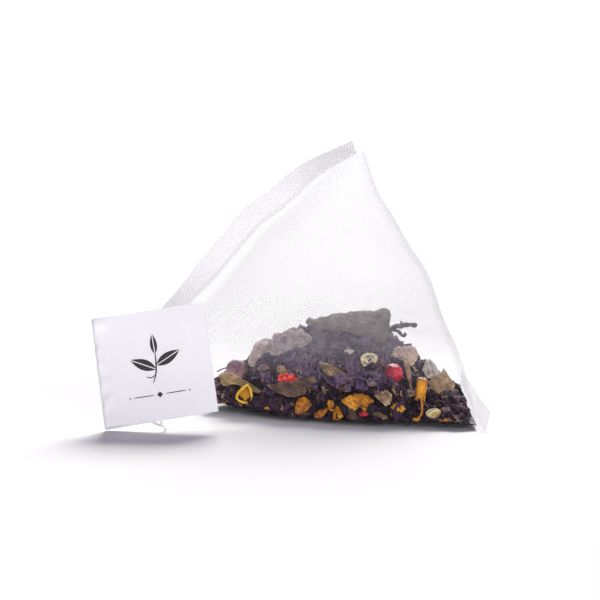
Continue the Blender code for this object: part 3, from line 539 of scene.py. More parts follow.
def sheet_piece(length, width, thick=0.25, across=8, along=12, curl=0.3, turn=0.0, ruffle=0.15, tip=0.45,
                ragged=0.15, crumple=0.06, vein=0.0, ribs=0, rim=0.2):
    """A curled sheet, such as a petal or a piece of leaf, lying in its x and y."""
    seed = Vector(rng.uniform(0, 90, 3))
    top = np.empty((along + 1, across + 1, 3))
    tones = np.full((along + 1, across + 1), 0.5)
    for i in range(along + 1):
        a = i / along - 0.5
        for j in range(across + 1):
            b = j / across - 0.5
            spread = 1 - (1 - tip) * abs(2 * a) ** 2.2
            spread *= 1 + ragged * drift(seed, a * 9, 3 * np.sign(b), 0)
            end = 1 + ragged * 0.6 * drift(seed, 7, b * 6, 3 * np.sign(a))
            x, y = a * length * end, b * width * spread
            z = curl * width * 2 * b * b + turn * length * 2 * a * a
            z += ruffle * drift(seed, a * 5.5, 9 + b, 2) * abs(2 * b) * 2
            z += crumple * width * drift(seed, a * 4, b * 4, 20)
            z += crumple * width * 0.4 * drift(seed, a * 13, b * 13, 40)
            rib = math.cos((abs(b) * 1.6 + a) * ribs * math.pi) if ribs else 0
            spine = math.exp(-((b * 16) ** 2)) if vein else 0
            top[i, j] = (x, y, z - vein * spine + vein * 0.5 * rib)
            away = max(abs(2 * a), abs(2 * b)) ** 5
            tones[i, j] += rim * away + 0.16 * rib + 0.3 * spine
            tones[i, j] += 0.25 * drift(seed, a * 6, b * 5, 60)
    return thickened(top, thick, tones)


PIXELS_A_MM = 5.45


def outlined(upper, low_points, thick=0.28, bulge=0.5, lean=0.7, ruffle=0.25, crumple=0.2, veins=6.0,
             fan=0.0, rows=14, cols=34, rim=0.25, painted_shade=0.0):
    """A petal or leaf from its outline: the upper line, then the lower line's points between its ends.

    The points are as seen from the front, x right and y down, PIXELS_A_MM to a millimetre."""
    seed = Vector(rng.uniform(0, 90, 3))
    lines = []
    for line in ([upper[0], *low_points, upper[-1]], upper):
        flat = np.array([(x, 0, y) for x, y in line], float)
        lines.append(smooth_path(flat, cols + 1))
    both = np.vstack(lines)
    centre = (both.max(0) + both.min(0)) / 2
    low, high = ((line - centre) / PIXELS_A_MM * [1, 1, -1] for line in lines)
    top = np.empty((cols + 1, rows + 1, 3))
    tones = np.full((cols + 1, rows + 1), 0.5)
    for i in range(cols + 1):
        t = i / cols
        middle, reach = (low[i] + high[i]) / 2, high[i] - low[i]
        size = np.linalg.norm(reach)
        if size < 0.3:
            reach = np.array([0, 0, 0.3])
        for j in range(rows + 1):
            s = j / rows
            p = middle + reach * (s - 0.5)
            edge = max(abs(2 * s - 1), abs(2 * t - 1))
            p = p + reach * 0.10 * drift(seed, t * 15, round(s) * 5, 1) * edge**4
            waver = 2 * drift(seed, t * 3, s * 2, 4)
            rib = math.cos((t - 0.5 + fan * (s - 0.5)) * veins * 2 * math.pi + waver)
            y = lean * p[2] + bulge * ((2 * s - 1) ** 2 + (2 * t - 1) ** 2 - 0.7)
            y += ruffle * edge**3 * drift(seed, t * 6, s * 6, 9)
            y += crumple * drift(seed, p[0] * 0.9, p[2] * 0.9, 30)
            y += crumple * 0.4 * drift(seed, p[0] * 2.6, p[2] * 2.6, 40)
            y += 0.05 * rib
            top[i, j] = (p[0], y, p[2])
            cloud = drift(seed, p[0] * 0.7, p[2] * 0.7, 60)
            tones[i, j] += rim * edge**7 + 0.13 * rib + 0.3 * cloud
            # Painted shade: the piece is lighter toward its upper line and darker toward its lower one,
            # the other way round for a number below zero
            tones[i, j] += painted_shade * (s - 0.5)
    return thickened(top, thick, tones)


def ball_piece(length, width, height, wrinkle, creases, detail=20, hollow=0.0, painted_shade=(0, 0, 0)):
    """A round fruit with a wrinkled skin."""
    seed = Vector(rng.uniform(0, 90, 3))
    around = detail * 2
    units = [np.array([0, 0, -1.0])]
    for i in range(1, detail):
        lat = math.pi * i / detail - math.pi / 2
        for k in range(around):
            lon = 2 * math.pi * k / around
            flat = math.cos(lat)
            units.append(np.array([flat * math.cos(lon), flat * math.sin(lon), math.sin(lat)]))
    units.append(np.array([0, 0, 1.0]))
    out, tones = [], []
    for p in units:
        v = Vector(p)
        ridge = 1 - abs(noise.noise(seed + v * creases)) * 3
        fine = noise.noise(seed + v * creases * 3.1)
        dent = max(0, noise.noise(seed + v * 1.2 + Vector((9, 9, 9))))
        bump = 1 + wrinkle * ridge + wrinkle * 0.5 * fine - hollow * dent
        out.append(p * np.array([length, width, height]) / 2 * bump)
        # Painted shade: darker in the skin's creases and dents, lighter on its ridges, and lighter toward
        # one side along the last argument
        tone = 0.5 + 0.5 * ridge * (wrinkle > 0) * 0.5 - 0.6 * dent * (hollow > 0)
        tones.append(tone + 0.2 * fine + p @ np.array(painted_shade))
    faces = [(0, 1 + (k + 1) % around, 1 + k) for k in range(around)]
    for i in range(detail - 2):
        for k in range(around):
            m = (k + 1) % around
            a, b = 1 + i * around, 1 + (i + 1) * around
            faces.append((a + k, a + m, b + m, b + k))
    last = len(units) - 1
    base = 1 + (detail - 2) * around
    faces += [(last, base + k, base + (k + 1) % around) for k in range(around)]
    return np.array(out), faces, np.array(tones)


def cluster_piece(size, count, drupelet):
    """A dried cluster: one skin that swells over each drupelet."""
    points, faces, tones = ball_piece(2, 2, 2, 0.0, 1.0, 34)
    centres = []
    for n in range(count):
        z = 1 - 2 * (n + 0.5) / count
        flat = math.sqrt(1 - z * z)
        centres.append((math.cos(2.4 * n) * flat, math.sin(2.4 * n) * flat, z))
    centres = np.array(centres) + rng.normal(0, 0.07, (count, 3))
    for n, p in enumerate(points):
        way = unit(p)
        off = np.linalg.norm(centres - way, axis=1).min() / drupelet
        dome = math.sqrt(max(0, 1 - off**2))
        points[n] = way * (0.62 + 0.38 * dome) * np.array(size) / 2
        # Painted shade: darker in the hollows between drupelets, lighter on their crowns
        tones[n] = 0.15 + 0.6 * dome
    return points, faces, tones


def stick_piece(length, width, depth):
    """A cut strip of peel with rounded edges and a grained face."""
    seed = Vector(rng.uniform(0, 90, 3))
    steps, sides = 34, 28
    fray, bow = 0.12, 0.12
    points, tones = [], []
    for n in range(steps + 1):
        a = n / steps - 0.5
        ends = (1 - abs(2 * a) ** 9) ** 0.5 * 0.62 + 0.38
        for k in range(sides):
            t = 2 * math.pi * k / sides
            c, s = math.cos(t), math.sin(t)
            y = np.sign(c) * abs(c) ** 0.5 * width / 2
            z = np.sign(s) * abs(s) ** 0.5 * depth / 2
            rough = 1 + fray * drift(seed, a * 7, y, z)
            rough += fray * 0.4 * drift(seed, a * 26, y * 3, z * 3)
            points.append((a * length, y * ends * rough, z * ends * rough + bow * width * (2 * a) ** 2))
            grain = drift(seed, a * 3, y * 3.5, z * 3.5)
            # Painted shade: the tone falls off toward both ends, against the light on their caps
            tones.append(0.5 + 0.5 * grain - 0.7 * abs(2 * a) ** 10 + 0.2 * (abs(y) > width * 0.42))
    return np.array(points), tube_faces(steps, sides), np.array(tones)


def twig_piece(points, thickness, knots=0.15, sides=10, taper=0.3, flat=1.0):
    """A stem along a smooth curve."""
    path = smooth_path(points, max(14, 9 * len(points)))
    seed = Vector(rng.uniform(0, 90, 3))
    out, tones = [], []
    for n, (p, side, up) in enumerate(frames_along(path, [0.3, 1, 0.2])):
        share = n / (len(path) - 1)
        radius = thickness / 2 * (1 - taper * share)
        for k in range(sides):
            a = 2 * math.pi * k / sides
            lump = drift(seed, share * 9, math.cos(a), math.sin(a))
            r = radius * (1 + knots * lump * 2)
            out.append(p + (side * math.cos(a) * flat + up * math.sin(a)) * r)
            tones.append(0.5 + 0.5 * lump)
    return np.array(out), tube_faces(len(path) - 1, sides), np.array(tones)


def joined(*pieces):
    """Several closed shapes as one."""
    points, faces, tones, start = [], [], [], 0
    for p, f, t in pieces:
        points.append(p)
        faces.extend([tuple(v + start for v in face) for face in f])
        tones.append(t)
        start += len(p)
    return np.vstack(points), faces, np.concatenate(tones)


def moved(shape, shift, tone=0.0):
    points, faces, tones = shape
    return points + np.array(shift), faces, tones + tone


# Materials of the filling

# Colour: the skin's name, how fine its mottle is, its roughness, and its dark, middle and light tints
SKINS = {
    "amber": ("amber_skin", 800, 0.45, (0.085, 0.024, 0.004), (0.45, 0.155, 0.006), (0.80, 0.38, 0.02)),
    "orange": ("orange_peel", 1300, 0.5, (0.30, 0.085, 0.003), (0.66, 0.25, 0.005), (0.86, 0.44, 0.02)),
    "tan": ("tan_petal_skin", 1100, 0.7, (0.09, 0.05, 0.025), (0.30, 0.19, 0.105), (0.62, 0.46, 0.31)),
    "brown": ("brown_leaf_skin", 1100, 0.62,
        (0.030, 0.016, 0.012), (0.105, 0.06, 0.042), (0.27, 0.17, 0.10)),
    "olive": ("olive_leaf_skin", 1000, 0.62,
        (0.045, 0.028, 0.012), (0.16, 0.10, 0.045), (0.46, 0.31, 0.13)),
    "sage": ("sage_leaf_skin", 1500, 0.8,
        (0.085, 0.070, 0.058), (0.155, 0.132, 0.112), (0.26, 0.228, 0.195)),
    "blush": ("blush_petal_skin", 1000, 0.6,
        (0.21, 0.145, 0.135), (0.42, 0.32, 0.295), (0.64, 0.53, 0.49)),
    "mauve": ("mauve_petal_skin", 1000, 0.7,
        (0.15, 0.105, 0.115), (0.31, 0.245, 0.245), (0.50, 0.43, 0.42)),
    "peach": ("peach_petal_skin", 1000, 0.65,
        (0.20, 0.11, 0.06), (0.46, 0.31, 0.22), (0.70, 0.55, 0.44)),
    "ash": ("ash_petal_skin", 1000, 0.6, (0.16, 0.13, 0.11), (0.36, 0.31, 0.275), (0.72, 0.66, 0.60)),
    "crimson": ("crimson_skin", 1000, 0.42,
        (0.085, 0.002, 0.010), (0.38, 0.006, 0.024), (0.74, 0.05, 0.08)),
    "scarlet": ("scarlet_skin", 1000, 0.25,
        (0.30, 0.004, 0.005), (0.74, 0.02, 0.018), (0.92, 0.12, 0.09)),
    "rose": ("rose_petal_skin", 1000, 0.6, (0.13, 0.045, 0.05), (0.30, 0.13, 0.125), (0.46, 0.25, 0.23)),
    "plum": ("plum_skin", 1100, 0.42, (0.050, 0.014, 0.026), (0.155, 0.062, 0.085), (0.36, 0.21, 0.21)),
    "pale": ("pale_seed_skin", 1300, 0.4, (0.34, 0.24, 0.08), (0.62, 0.51, 0.25), (0.84, 0.78, 0.58)),
    "bud": ("white_bud_skin", 900, 0.55, (0.42, 0.38, 0.30), (0.66, 0.62, 0.52), (0.86, 0.84, 0.76)),
    "stem": ("dark_stem_skin", 1200, 0.62,
        (0.016, 0.010, 0.016), (0.050, 0.036, 0.050), (0.13, 0.10, 0.12)),
    "gold": ("gold_curl_skin", 1200, 0.3, (0.46, 0.20, 0.004), (0.80, 0.45, 0.012), (0.95, 0.70, 0.12)),
    "dark_core": ("dark_core_skin", 1400, 0.62,
        (0.006, 0.003, 0.007), (0.016, 0.009, 0.018), (0.045, 0.03, 0.048)),
}
TINTS = {
    "dark_shreds": ((0.005, 0.0022, 0.006), (0.019, 0.0085, 0.021), (0.072, 0.040, 0.070)),
    "dark_flakes": ((0.004, 0.0020, 0.005), (0.016, 0.0070, 0.018), (0.062, 0.034, 0.058)),
    "violet_flakes": ((0.022, 0.010, 0.033), (0.066, 0.034, 0.086), (0.18, 0.115, 0.19)),
    "brown_shreds": ((0.020, 0.006, 0.005), (0.072, 0.030, 0.022), (0.24, 0.13, 0.085)),
    "mauve_flakes": ((0.036, 0.019, 0.030), (0.110, 0.064, 0.082), (0.28, 0.19, 0.20)),
    "tan_flakes": ((0.075, 0.035, 0.016), (0.25, 0.145, 0.075), (0.50, 0.35, 0.22)),
    "amber_flakes": ((0.20, 0.06, 0.005), (0.52, 0.20, 0.012), (0.80, 0.42, 0.05)),
}
COLOURS = {}
for colour, (skin, grain, roughness, *tints) in SKINS.items():
    specular = 0.25 if colour == "crimson" else 0.35
    COLOURS[colour] = plant_material(skin, tints, grain, roughness, specular)
for tint, tints in TINTS.items():
    COLOURS[tint] = plant_material(tint + "_skin", tints, 1100, 0.75, 0.12)


NAMED = []
FILM_ROOM = 0.22


def named(name, colour, shape, turn=(0, 0, 0), shift=(0, 0, 0)):
    """A detailed piece in the place of the CAD node of this name."""
    low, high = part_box(name)
    middle = np.array((low + high) / 2) / MM + np.array(shift)
    points, faces, tones = shape
    points = points @ np.array(Euler([math.radians(a) for a in turn]).to_matrix()).T
    centre = (points.max(0) + points.min(0)) / 2
    points = pressed(points - centre + middle, FILM_ROOM, FILM_ROOM + 0.9)
    points[:, 2] = np.maximum(points[:, 2], 0.1)
    piece = add_mesh("fine_" + name, points, faces, [COLOURS[colour]], tones)
    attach(piece, "root")
    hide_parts(name)
    NAMED.append((middle, (points.max(0) - points.min(0)) / 2))


# An outline's numbers: thickness, bulge, lean, ruffle, crumple, veins, fan, rows, columns, rim, painted
# shade across
named(
    "large_leaf", "sage",
    outlined(
        [
            (303, 324), (306, 320), (313, 321), (325, 317.5), (347, 314), (370, 313), (385, 311),
            (389.5, 316)],
        [(309, 328), (322, 330.5), (340, 333), (356, 336), (370, 339), (381, 344), (386, 332)], 0.3, 0.7,
        0.9, 0.6, 0.7, 4, 1.2, 20, 60, 0.15, 0.5),
    shift=(0, -0.6, -0.9))
named(
    "forked_stem", "stem",
    joined(
        twig_piece(
            [(0, 0, 0), (0.8, 0, 1.1), (2.0, -0.1, 1.5), (3.3, 0, 2.0), (4.4, 0, 2.1)], 0.85, 0.35, 12,
            0.1),
        twig_piece([(0.4, 0, 0.6), (1.6, 0.1, 0.3), (2.6, 0, -0.3), (3.1, 0, 0.3)], 0.7, 0.4, 12, 0.2),
        twig_piece([(2.0, 0, 1.5), (1.7, 0, 2.4)], 0.5, 0.3, 10, 0.3),
        moved(ball_piece(1.1, 0.8, 0.9, 0.2, 2.5, 8), (4.3, 0, 2.1))),
    turn=(0, 12, 0))
named(
    "crimson_berry", "crimson", ball_piece(3.6, 3.5, 3.6, 0.05, 1.3, 24, 0.12, (0.15, 0, 0.22)),
    turn=(0, 20, 10))
named("dark_berry", "plum", ball_piece(4.0, 3.8, 4.0, 0.035, 0.9, 24, 0.05, (-0.05, 0, -0.12)))
named("red_fruit_cluster", "scarlet", cluster_piece((4.6, 2.4, 2.9), 20, 0.4), turn=(0, 18, 0))
named("orange_peel_stick", "orange", stick_piece(5.5, 1.9, 1.4), turn=(90, -82, 0))
named(
    "amber_stem", "amber",
    joined(
        twig_piece([(0, 0, 2.1), (0.35, 0, 0.6), (0.3, 0, -0.9), (-0.3, 0, -2.0)], 0.46, 0.2, 10, 0.2),
        moved(ball_piece(1.4, 0.8, 0.8, 0.2, 2.0, 10), (-0.6, 0, -2.2))))
named("pale_seed", "pale", ball_piece(2.9, 1.1, 1.8, 0.05, 1.6, 16, 0.2), turn=(0, -12, 0))
named(
    "grey_petal", "ash",
    joined(
        outlined(
            [(425, 373), (428, 367), (432.5, 362.5), (439, 369)], [(430, 380), (436, 381), (441, 376)],
            0.2, 0.5, 0.8, 0.3, 0.2, 5, 0, 12, 20, 0.5),
        moved(
            outlined([(0, 6), (4, 2), (9, 0), (13, 3)], [(5, 9), (11, 8)], 0.2, 0.5, 0.8),
            (1.0, 0.7, -1.2))))
named(
    "frayed_tan_petal", "tan",
    outlined(
        [(428, 385), (433, 380.5), (440, 376.5), (445, 373), (448, 378), (454.5, 388)],
        [(430, 390.5), (436, 395.5), (444, 399), (451, 395)], 0.22, 0.4, 0.8, 0.6, 0.4, 9, 0.6, 16, 30,
        0.2))
named(
    "peach_petal", "peach",
    outlined(
        [(389.5, 356), (393, 349.5), (402, 347.5), (412, 348.5), (416, 354)],
        [(395, 360), (402.5, 364), (409, 365.5), (414, 361)], 0.22, 0.5, 0.7, 0.35, 0.25, 7, 0.3, 14, 26,
        0.35))
named(
    "peach_stalk", "tan",
    outlined(
        [(402, 363), (406, 362), (408, 371), (410, 384)], [(404, 373), (407.5, 384.5)], 0.3, 0.2, 0.6,
        0.2, 0.2, 2, 0, 8, 20, 0.3))
named(
    "blossom_petal", "blush",
    joined(
        outlined(
            [(244, 365), (245.5, 356), (250, 347.5), (257, 343), (266, 342), (271.5, 345), (272, 350)],
            [(248, 369), (253, 363), (257, 358.5), (262, 355), (268, 353.5)], 0.2, 0.6, 0.8, 0.7, 0.6, 8,
            0.5, 18, 38, 0.5, 0.3),
        moved(
            outlined(
                [(0, 16), (2, 8), (8, 1), (15, 0), (19, 3)], [(4, 18), (9, 12), (14, 8)], 0.2, 0.5, 0.5,
                0.6, 0.5, 6, 0.4, 14, 28, 0.5),
            (-0.3, -0.35, 0.2), -0.12)))
named(
    "mauve_petal", "mauve",
    joined(
        outlined(
            [
                (272.5, 351), (274, 342), (273.5, 335), (277, 331.5), (284, 330.5), (290, 326.5),
                (296, 325.5), (304, 328), (314, 336)],
            [(279, 352), (287, 348), (296, 344.5), (306, 343)], 0.2, 0.5, 0.8, 1.0, 0.7, 9, 0.4, 18, 44,
            0.4, 0.2),
        moved(
            outlined(
                [(0, 15), (3, 6), (9, 1), (17, 0), (22, 5)], [(7, 17), (14, 13)], 0.2, 0.5, 0.7, 0.8,
                0.6, 6, 0.5, 14, 28, 0.4),
            (-1.3, -0.4, -0.5), -0.15),
        moved(
            outlined(
                [(0, 9), (4, 2), (12, 0), (19, 6)], [(6, 12), (13, 11)], 0.2, 0.5, 0.7, 0.8, 0.6, 6, 0.5,
                14, 28, 0.4),
            (2.0, -0.35, 0.1), 0.1)))
named("pink_bit", "rose", outlined([(0, 4), (5, 1), (11, 2)], [(5, 7)], 0.25, 0.3))
named(
    "curled_petal", "pale",
    joined(
        twig_piece(
            [
                (1.1, 0, -0.6), (1.5, 0, 0.3), (1.0, 0, 1.1), (0.1, 0, 1.4), (-0.7, 0, 1.0),
                (-1.0, 0, 0.1), (-0.7, 0, -0.9), (0.1, 0, -1.4)],
            0.42, 0.2, 10, 0.1, 1.5),
        moved(
            outlined([(0, 5), (6, 0), (12, 5)], [(6, 10)], 0.2, -0.5, 0.5, painted_shade=-0.9), (0.1, 0.7, 0.1))))
named("white_bud", "bud", outlined([(0, 3), (4.5, 0), (9.5, 3)], [(4.5, 6)], 0.3, 0.35, 0.5, rim=0.5))
named("grey_bit", "olive", ball_piece(1.5, 1.2, 1.1, 0.45, 1.9, 12), turn=(0, 25, 0))
named(
    "curled_tan_leaf", "olive",
    joined(
        outlined(
            [(320, 366), (328, 367), (337, 371), (345, 376), (350, 380)],
            [(323, 373), (330, 378), (340, 378)], 0.25, 0.6, 0.7, 0.4, 0.3, 5, 0.5, 12, 28, 0.3),
        moved(
            twig_piece(
                [(-2.6, 0, 1.3), (-1.0, 0, 1.0), (0.6, 0, 0.2), (2.6, 0, -1.2)], 0.34, 0.2, 8, 0.2),
            (0, -0.5, 0.1))))
named(
    "olive_leaf", "olive",
    outlined(
        [(216, 379), (222, 376.5), (232, 378), (243, 384), (254, 390), (265, 398)],
        [(221, 388), (232, 387), (243, 390), (255, 396)], 0.25, 0.4, 0.6, 0.5, 0.35, 8, 0.7, 14, 40,
        0.45),
    shift=(0, 0, -1.3))
named(
    "brown_leaf_strip", "brown",
    outlined(
        [(263, 392), (276, 388.5), (290, 387.5), (303, 384), (311, 382), (314, 392)],
        [(272, 398), (285, 402.5), (297, 401), (308, 396.5)], 0.25, 0.4, 0.6, 0.5, 0.4, 8, 0.6, 14, 40,
        0.25))
named(
    "yellow_curl", "gold",
    joined(
        twig_piece(
            [
                (-1.9, 0, -0.9), (-1.2, 0, 0.5), (0.1, 0, 1.6), (0.7, 0, 0.8), (1.1, 0, -0.9),
                (0.2, 0, -1.6), (-0.9, 0, -1.5), (-1.9, 0, -0.9)],
            0.3, 0.2, 10, 0.0, 1.6),
        moved(outlined([(0, 5), (7, -2), (14, 6)], [(7, 11)], 0.2, 0.5, 0.5), (-0.2, 0.6, 0.0), -0.8)))
named(
    "amber_petal", "amber",
    outlined(
        [(295.5, 412), (297, 403), (301.5, 398), (308, 399), (312, 405)],
        [(299, 414.5), (304, 412), (309, 409)], 0.25, 0.4, 0.5, 0.4, 0.35, 5, 0.4, 12, 22, 0.3))
named(
    "large_amber_petal", "amber",
    outlined(
        [(343, 403), (349, 398.5), (357, 396), (366, 397), (371, 400), (375, 403)],
        [(348, 407), (355, 412), (362, 409), (366, 414), (369, 407)], 0.3, 0.5, 0.5, 0.6, 0.5, 6, 0.5,
        14, 34, 0.25))
named(
    "tan_curl", "tan",
    joined(
        outlined(
            [(368, 397), (374, 394.5), (381, 392.5), (385, 398)], [(373, 402), (380, 407), (384.5, 403)],
            0.25, 0.5, 0.6, 0.3, 0.3, 7, 0.5, 12, 24, 0.35),
        moved(
            twig_piece(
                [(-0.6, 0, 1.0), (0.8, 0, 1.3), (1.5, 0, 0.4), (1.3, 0, -0.8)], 0.34, 0.2, 8, 0.2),
            (0, -0.4, 0))))
named("amber_bit_1", "tan", outlined([(0, 6), (5, 1), (13, 0), (17, 2)], [(5, 9), (11, 8)], 0.4, 0.4))
named("amber_bit_2", "amber", outlined([(0, 7), (6, 3), (14, 0)], [(4, 10), (10, 6)], 0.5, 0.4))
named("amber_bit_3", "amber", outlined([(0, 12), (1, 3), (4, 0), (9, 10)], [(4, 13)], 0.5, 0.4))
named("amber_bit_4", "brown", outlined([(0, 8), (1, 1), (3, 0), (7, 7)], [(4, 9)], 0.5, 0.4))
named("red_bit", "crimson", ball_piece(1.5, 0.9, 0.8, 0.2, 2.0, 10))
named(
    "tan_bit", "olive",
    outlined([(0, 2), (5, 0), (11, 3), (14, 5)], [(4, 5), (9, 7)], 0.35, 0.4, rim=0.5))
named("dark_stick", "stem", twig_piece([(0, 0, 0), (1.4, 0, 0.15), (3.0, 0, 0.1)], 1.0, 0.25, 14, 0.05))
named("small_twig", "stem", twig_piece([(0, 0, 0), (1.0, 0, 0.5), (2.2, 0, 0.8)], 0.3, 0.2))
named(
    "back_olive_leaf", "olive",
    sheet_piece(9.4, 4.2, 0.25, 16, 26, curl=0.3, ragged=0.3, crumple=0.1, vein=0.15, ribs=9),
    turn=(-72, 20, 0))
named(
    "back_brown_leaf", "brown", sheet_piece(8.4, 3.6, 0.25, 14, 24, curl=0.3, ragged=0.3, crumple=0.1),
    turn=(-72, -15, 0))
named(
    "back_blossom_petal", "blush",
    sheet_piece(4.9, 3.8, 0.22, 14, 18, curl=0.42, tip=0.72, vein=0.1, ribs=6), turn=(-70, 30, 0))
named(
    "back_amber_petal", "amber", sheet_piece(4.7, 3.2, 0.25, 12, 16, curl=0.4, ragged=0.3),
    turn=(-75, 10, 0))
named("back_crimson_berry", "crimson", ball_piece(3.5, 3.3, 3.3, 0.06, 1.2, 20, 0.1))
named("back_peel_stick", "orange", stick_piece(5.2, 1.8, 1.2), turn=(90, 30, 0))
named("back_dark_berry", "plum", ball_piece(3.7, 3.6, 3.7, 0.035, 0.9, 20, 0.05))


# Loose shreds and flakes

# The way the bag is seen from in front, for keeping shreds off the pieces modelled by name
LOOK = math.radians(7)
VIEW = np.array([0, math.cos(LOOK), -math.sin(LOOK)])
RISE = np.array([0, math.sin(LOOK), math.cos(LOOK)])
BATCH = {}


def into_batch(name, points, faces, tones):
    batch = BATCH.setdefault(name, ([], [], []))
    start = sum(len(p) for p in batch[0])
    batch[0].append(points)
    batch[1].extend([tuple(v + start for v in face) for face in faces])
    batch[2].append(tones)


def hides_named(p, reach):
    """True if a shred there would cover a piece modelled by name, seen from the front or the back."""
    for middle, half in NAMED:
        d = p - middle
        front = middle[1] < 3
        along = d @ VIEW if front else -d[1]
        if along > half[1] + 0.3:
            continue
        if abs(d[0]) < half[0] * 0.8 + reach and abs(d @ RISE) < half[2] * 0.8 + reach:
            return True
    return False


def shred(length, width, thick, bend, twist, sides=6):
    """A strip that bends and twists, from its middle."""
    steps = max(4, min(9, int(length / 0.5)))
    rings, tones = [], []
    heading, side, at = np.array([1.0, 0, 0]), np.array([0, 1.0, 0]), np.zeros(3)
    turn = np.array(bend)
    phase = rng.uniform(0, 6.28, sides)
    for n in range(steps + 1):
        share = n / steps
        taper = math.sin(math.pi * (0.14 + 0.72 * share)) ** 0.5
        up = np.cross(heading, side)
        for k in range(sides):
            a = 2 * math.pi * k / sides + phase[0] * 0.2
            swell = 1 + 0.25 * math.sin(phase[k] + n * 1.7)
            way = side * math.cos(a) * width + up * math.sin(a) * thick
            rings.append(at + way * 0.5 * taper * swell)
            tones.append(0.30 * math.sin(phase[k] + n * 1.7))
        heading = unit(heading + np.cross(turn, heading) / steps)
        side = side + up * twist / steps
        side = unit(side - heading * side.dot(heading))
        at = at + heading * length / steps
        turn = turn + rng.normal(0, 0.5, 3)
    points = np.array(rings)
    return points - points.mean(axis=0), tube_faces(steps, sides), np.array(tones)


def scatter(kind, count, lengths, widths, thick, where, lift, flake=False):
    """Shreds or flakes strewn over the heap, each with its sizes between the two of each pair."""
    for _ in range(count):
        for _ in range(10):
            x, share = where()
            base, up = on_heap(x, share)
            p = base + up * rng.uniform(*lift)
            if not hides_named(p, 0.35):
                break
        else:
            continue
        length, width = rng.uniform(*lengths), rng.uniform(*widths)
        if flake:
            points, faces, tones = sheet_piece(
                length, width, rng.uniform(*thick), 5, 6, curl=rng.uniform(0.1, 0.7), ragged=0.45,
                crumple=0.22, tip=rng.uniform(0.25, 0.8), turn=rng.uniform(-0.15, 0.3), rim=0.35,
                ruffle=0.2)
            tones = tones - 0.5
        else:
            thickness, bend, twist = rng.uniform(*thick), rng.normal(0, 0.9, 3), rng.normal(0, 1.6)
            points, faces, tones = shred(length, width, thickness, bend, twist)
        up = unit(up + rng.normal(0, 0.3, 3))
        spin = rng.uniform(0, 2 * math.pi)
        side = unit(np.cross(up, [math.cos(spin), math.sin(spin), 0.01]))
        points = points @ np.stack([side, np.cross(up, side), up], 1).T + p
        near_film = rng.uniform(0.25, 1.0)
        points = pressed(points, near_film, near_film + 0.8)
        points[:, 0] -= max(0, points[:, 0].max() - rng.uniform(17.6, 19.2))
        into_batch(kind, points, faces, tones + rng.uniform(0.15, 0.85))


def anywhere(low=-29):
    def pick():
        share = rng.uniform(-1, 0.05) if rng.uniform() < 0.62 else rng.uniform(0, 1)
        return rng.uniform(low, 18.0), share
    return pick


def lower_front():
    return rng.uniform(-27, 18), rng.uniform(-0.99, -0.90) * rng.choice((1, 1, 1, -1))


def upper_middle():
    return rng.uniform(-21, 8), rng.uniform(-0.80, 0.3)


# Each kind's count, its least and most length, width and thickness, its place and how far above the heap
scatter("dark_flakes", 900, (1.8, 4.6), (1.0, 2.4), (0.15, 0.3), anywhere(), (-0.9, 0.5), True)
scatter("dark_shreds", 560, (1.8, 4.8), (0.6, 1.4), (0.3, 0.6), anywhere(), (-0.6, 0.4))
scatter("dark_flakes", 200, (1.2, 2.8), (0.8, 1.8), (0.3, 0.6), anywhere(9), (-0.4, 0.4), True)
scatter("violet_flakes", 380, (1.8, 4.8), (1.0, 2.6), (0.12, 0.25), upper_middle, (-0.2, 0.7), True)
scatter("brown_shreds", 300, (1.5, 5.0), (0.35, 1.0), (0.2, 0.45), anywhere(), (-0.2, 0.7))
scatter("mauve_flakes", 240, (1.4, 3.8), (0.9, 2.2), (0.12, 0.25), anywhere(), (-0.1, 0.6), True)
scatter("tan_flakes", 70, (0.8, 2.6), (0.5, 1.4), (0.15, 0.3), anywhere(), (0.1, 0.7), True)
scatter("amber_flakes", 20, (0.8, 2.2), (0.6, 1.4), (0.2, 0.4), lower_front, (0.2, 0.6), True)
for kind, (points, faces, tones) in BATCH.items():
    points = np.vstack(points)
    points[:, 2] = np.maximum(points[:, 2], 0.08)
    batch = add_mesh(kind, points, faces, [COLOURS[kind]], np.concatenate(tones))
    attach(batch, "root")
    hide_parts("leaf_shred_heap")


def make_core():
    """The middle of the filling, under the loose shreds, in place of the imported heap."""
    around, steps = 120, 96
    left, length = -29.5, 48.4
    points, tones = [], []
    for i in range(steps):
        x = left + length * i / (steps - 1)
        for k in range(around):
            turn = 2 * math.pi * k / around
            base, _ = on_heap(x, -math.cos(turn) * 0.985)
            on_top = turn <= math.pi
            p = base - np.array([0, 0, 0.8]) if on_top else np.array([base[0], base[1], 0.35])
            lump = noise.noise(Vector(p) * 0.5) * 0.8 + noise.noise(Vector(p) * 1.3) * 0.6
            lump += noise.noise(Vector(p) * 3.0) * 0.3
            points.append(p + np.array([0, 0.2 * np.sign(p[1]), 1]) * lump * on_top)
            tones.append(0.5 + 0.4 * lump)
    points = pressed(np.array(points), 0.5, 1.3)
    points[:, 2] = np.maximum(points[:, 2], 0.15)
    faces = tube_faces(steps - 1, around)
    core = add_mesh("packed_shreds", points, faces, [COLOURS["dark_core"]], tones)
    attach(core, "root")
    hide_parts("leaf_shred_heap")


make_core()
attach(film, "root")
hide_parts("mesh_bag")


# Tag: one strip of paper, folded on the left

TAG_SIDE = 20.5
TAG_CORNER = np.array((-0.702, -0.462, 0)) * FLAT
TAG_GAP = 1.25
PAPER = 0.24
FOLD_RADIUS = TAG_GAP / 2 + PAPER / 2
turned = Matrix.Identity(3)
for degrees, axis in ((-6.5, "Z"), (-22, "X"), (-10.5, "Y")):
    turned = turned @ Matrix.Rotation(math.radians(degrees), 3, axis)
turned = np.array(turned)
TAG_RIGHT, TAG_UP, TAG_BACK = turned @ [1, 0, 0], turned @ [0, 0, 1], turned @ [0, 1, 0]
TAG_LIFT = np.array([0, 0, (TAG_GAP / 2 + 0.25) * abs(TAG_BACK[2]) + 0.02])


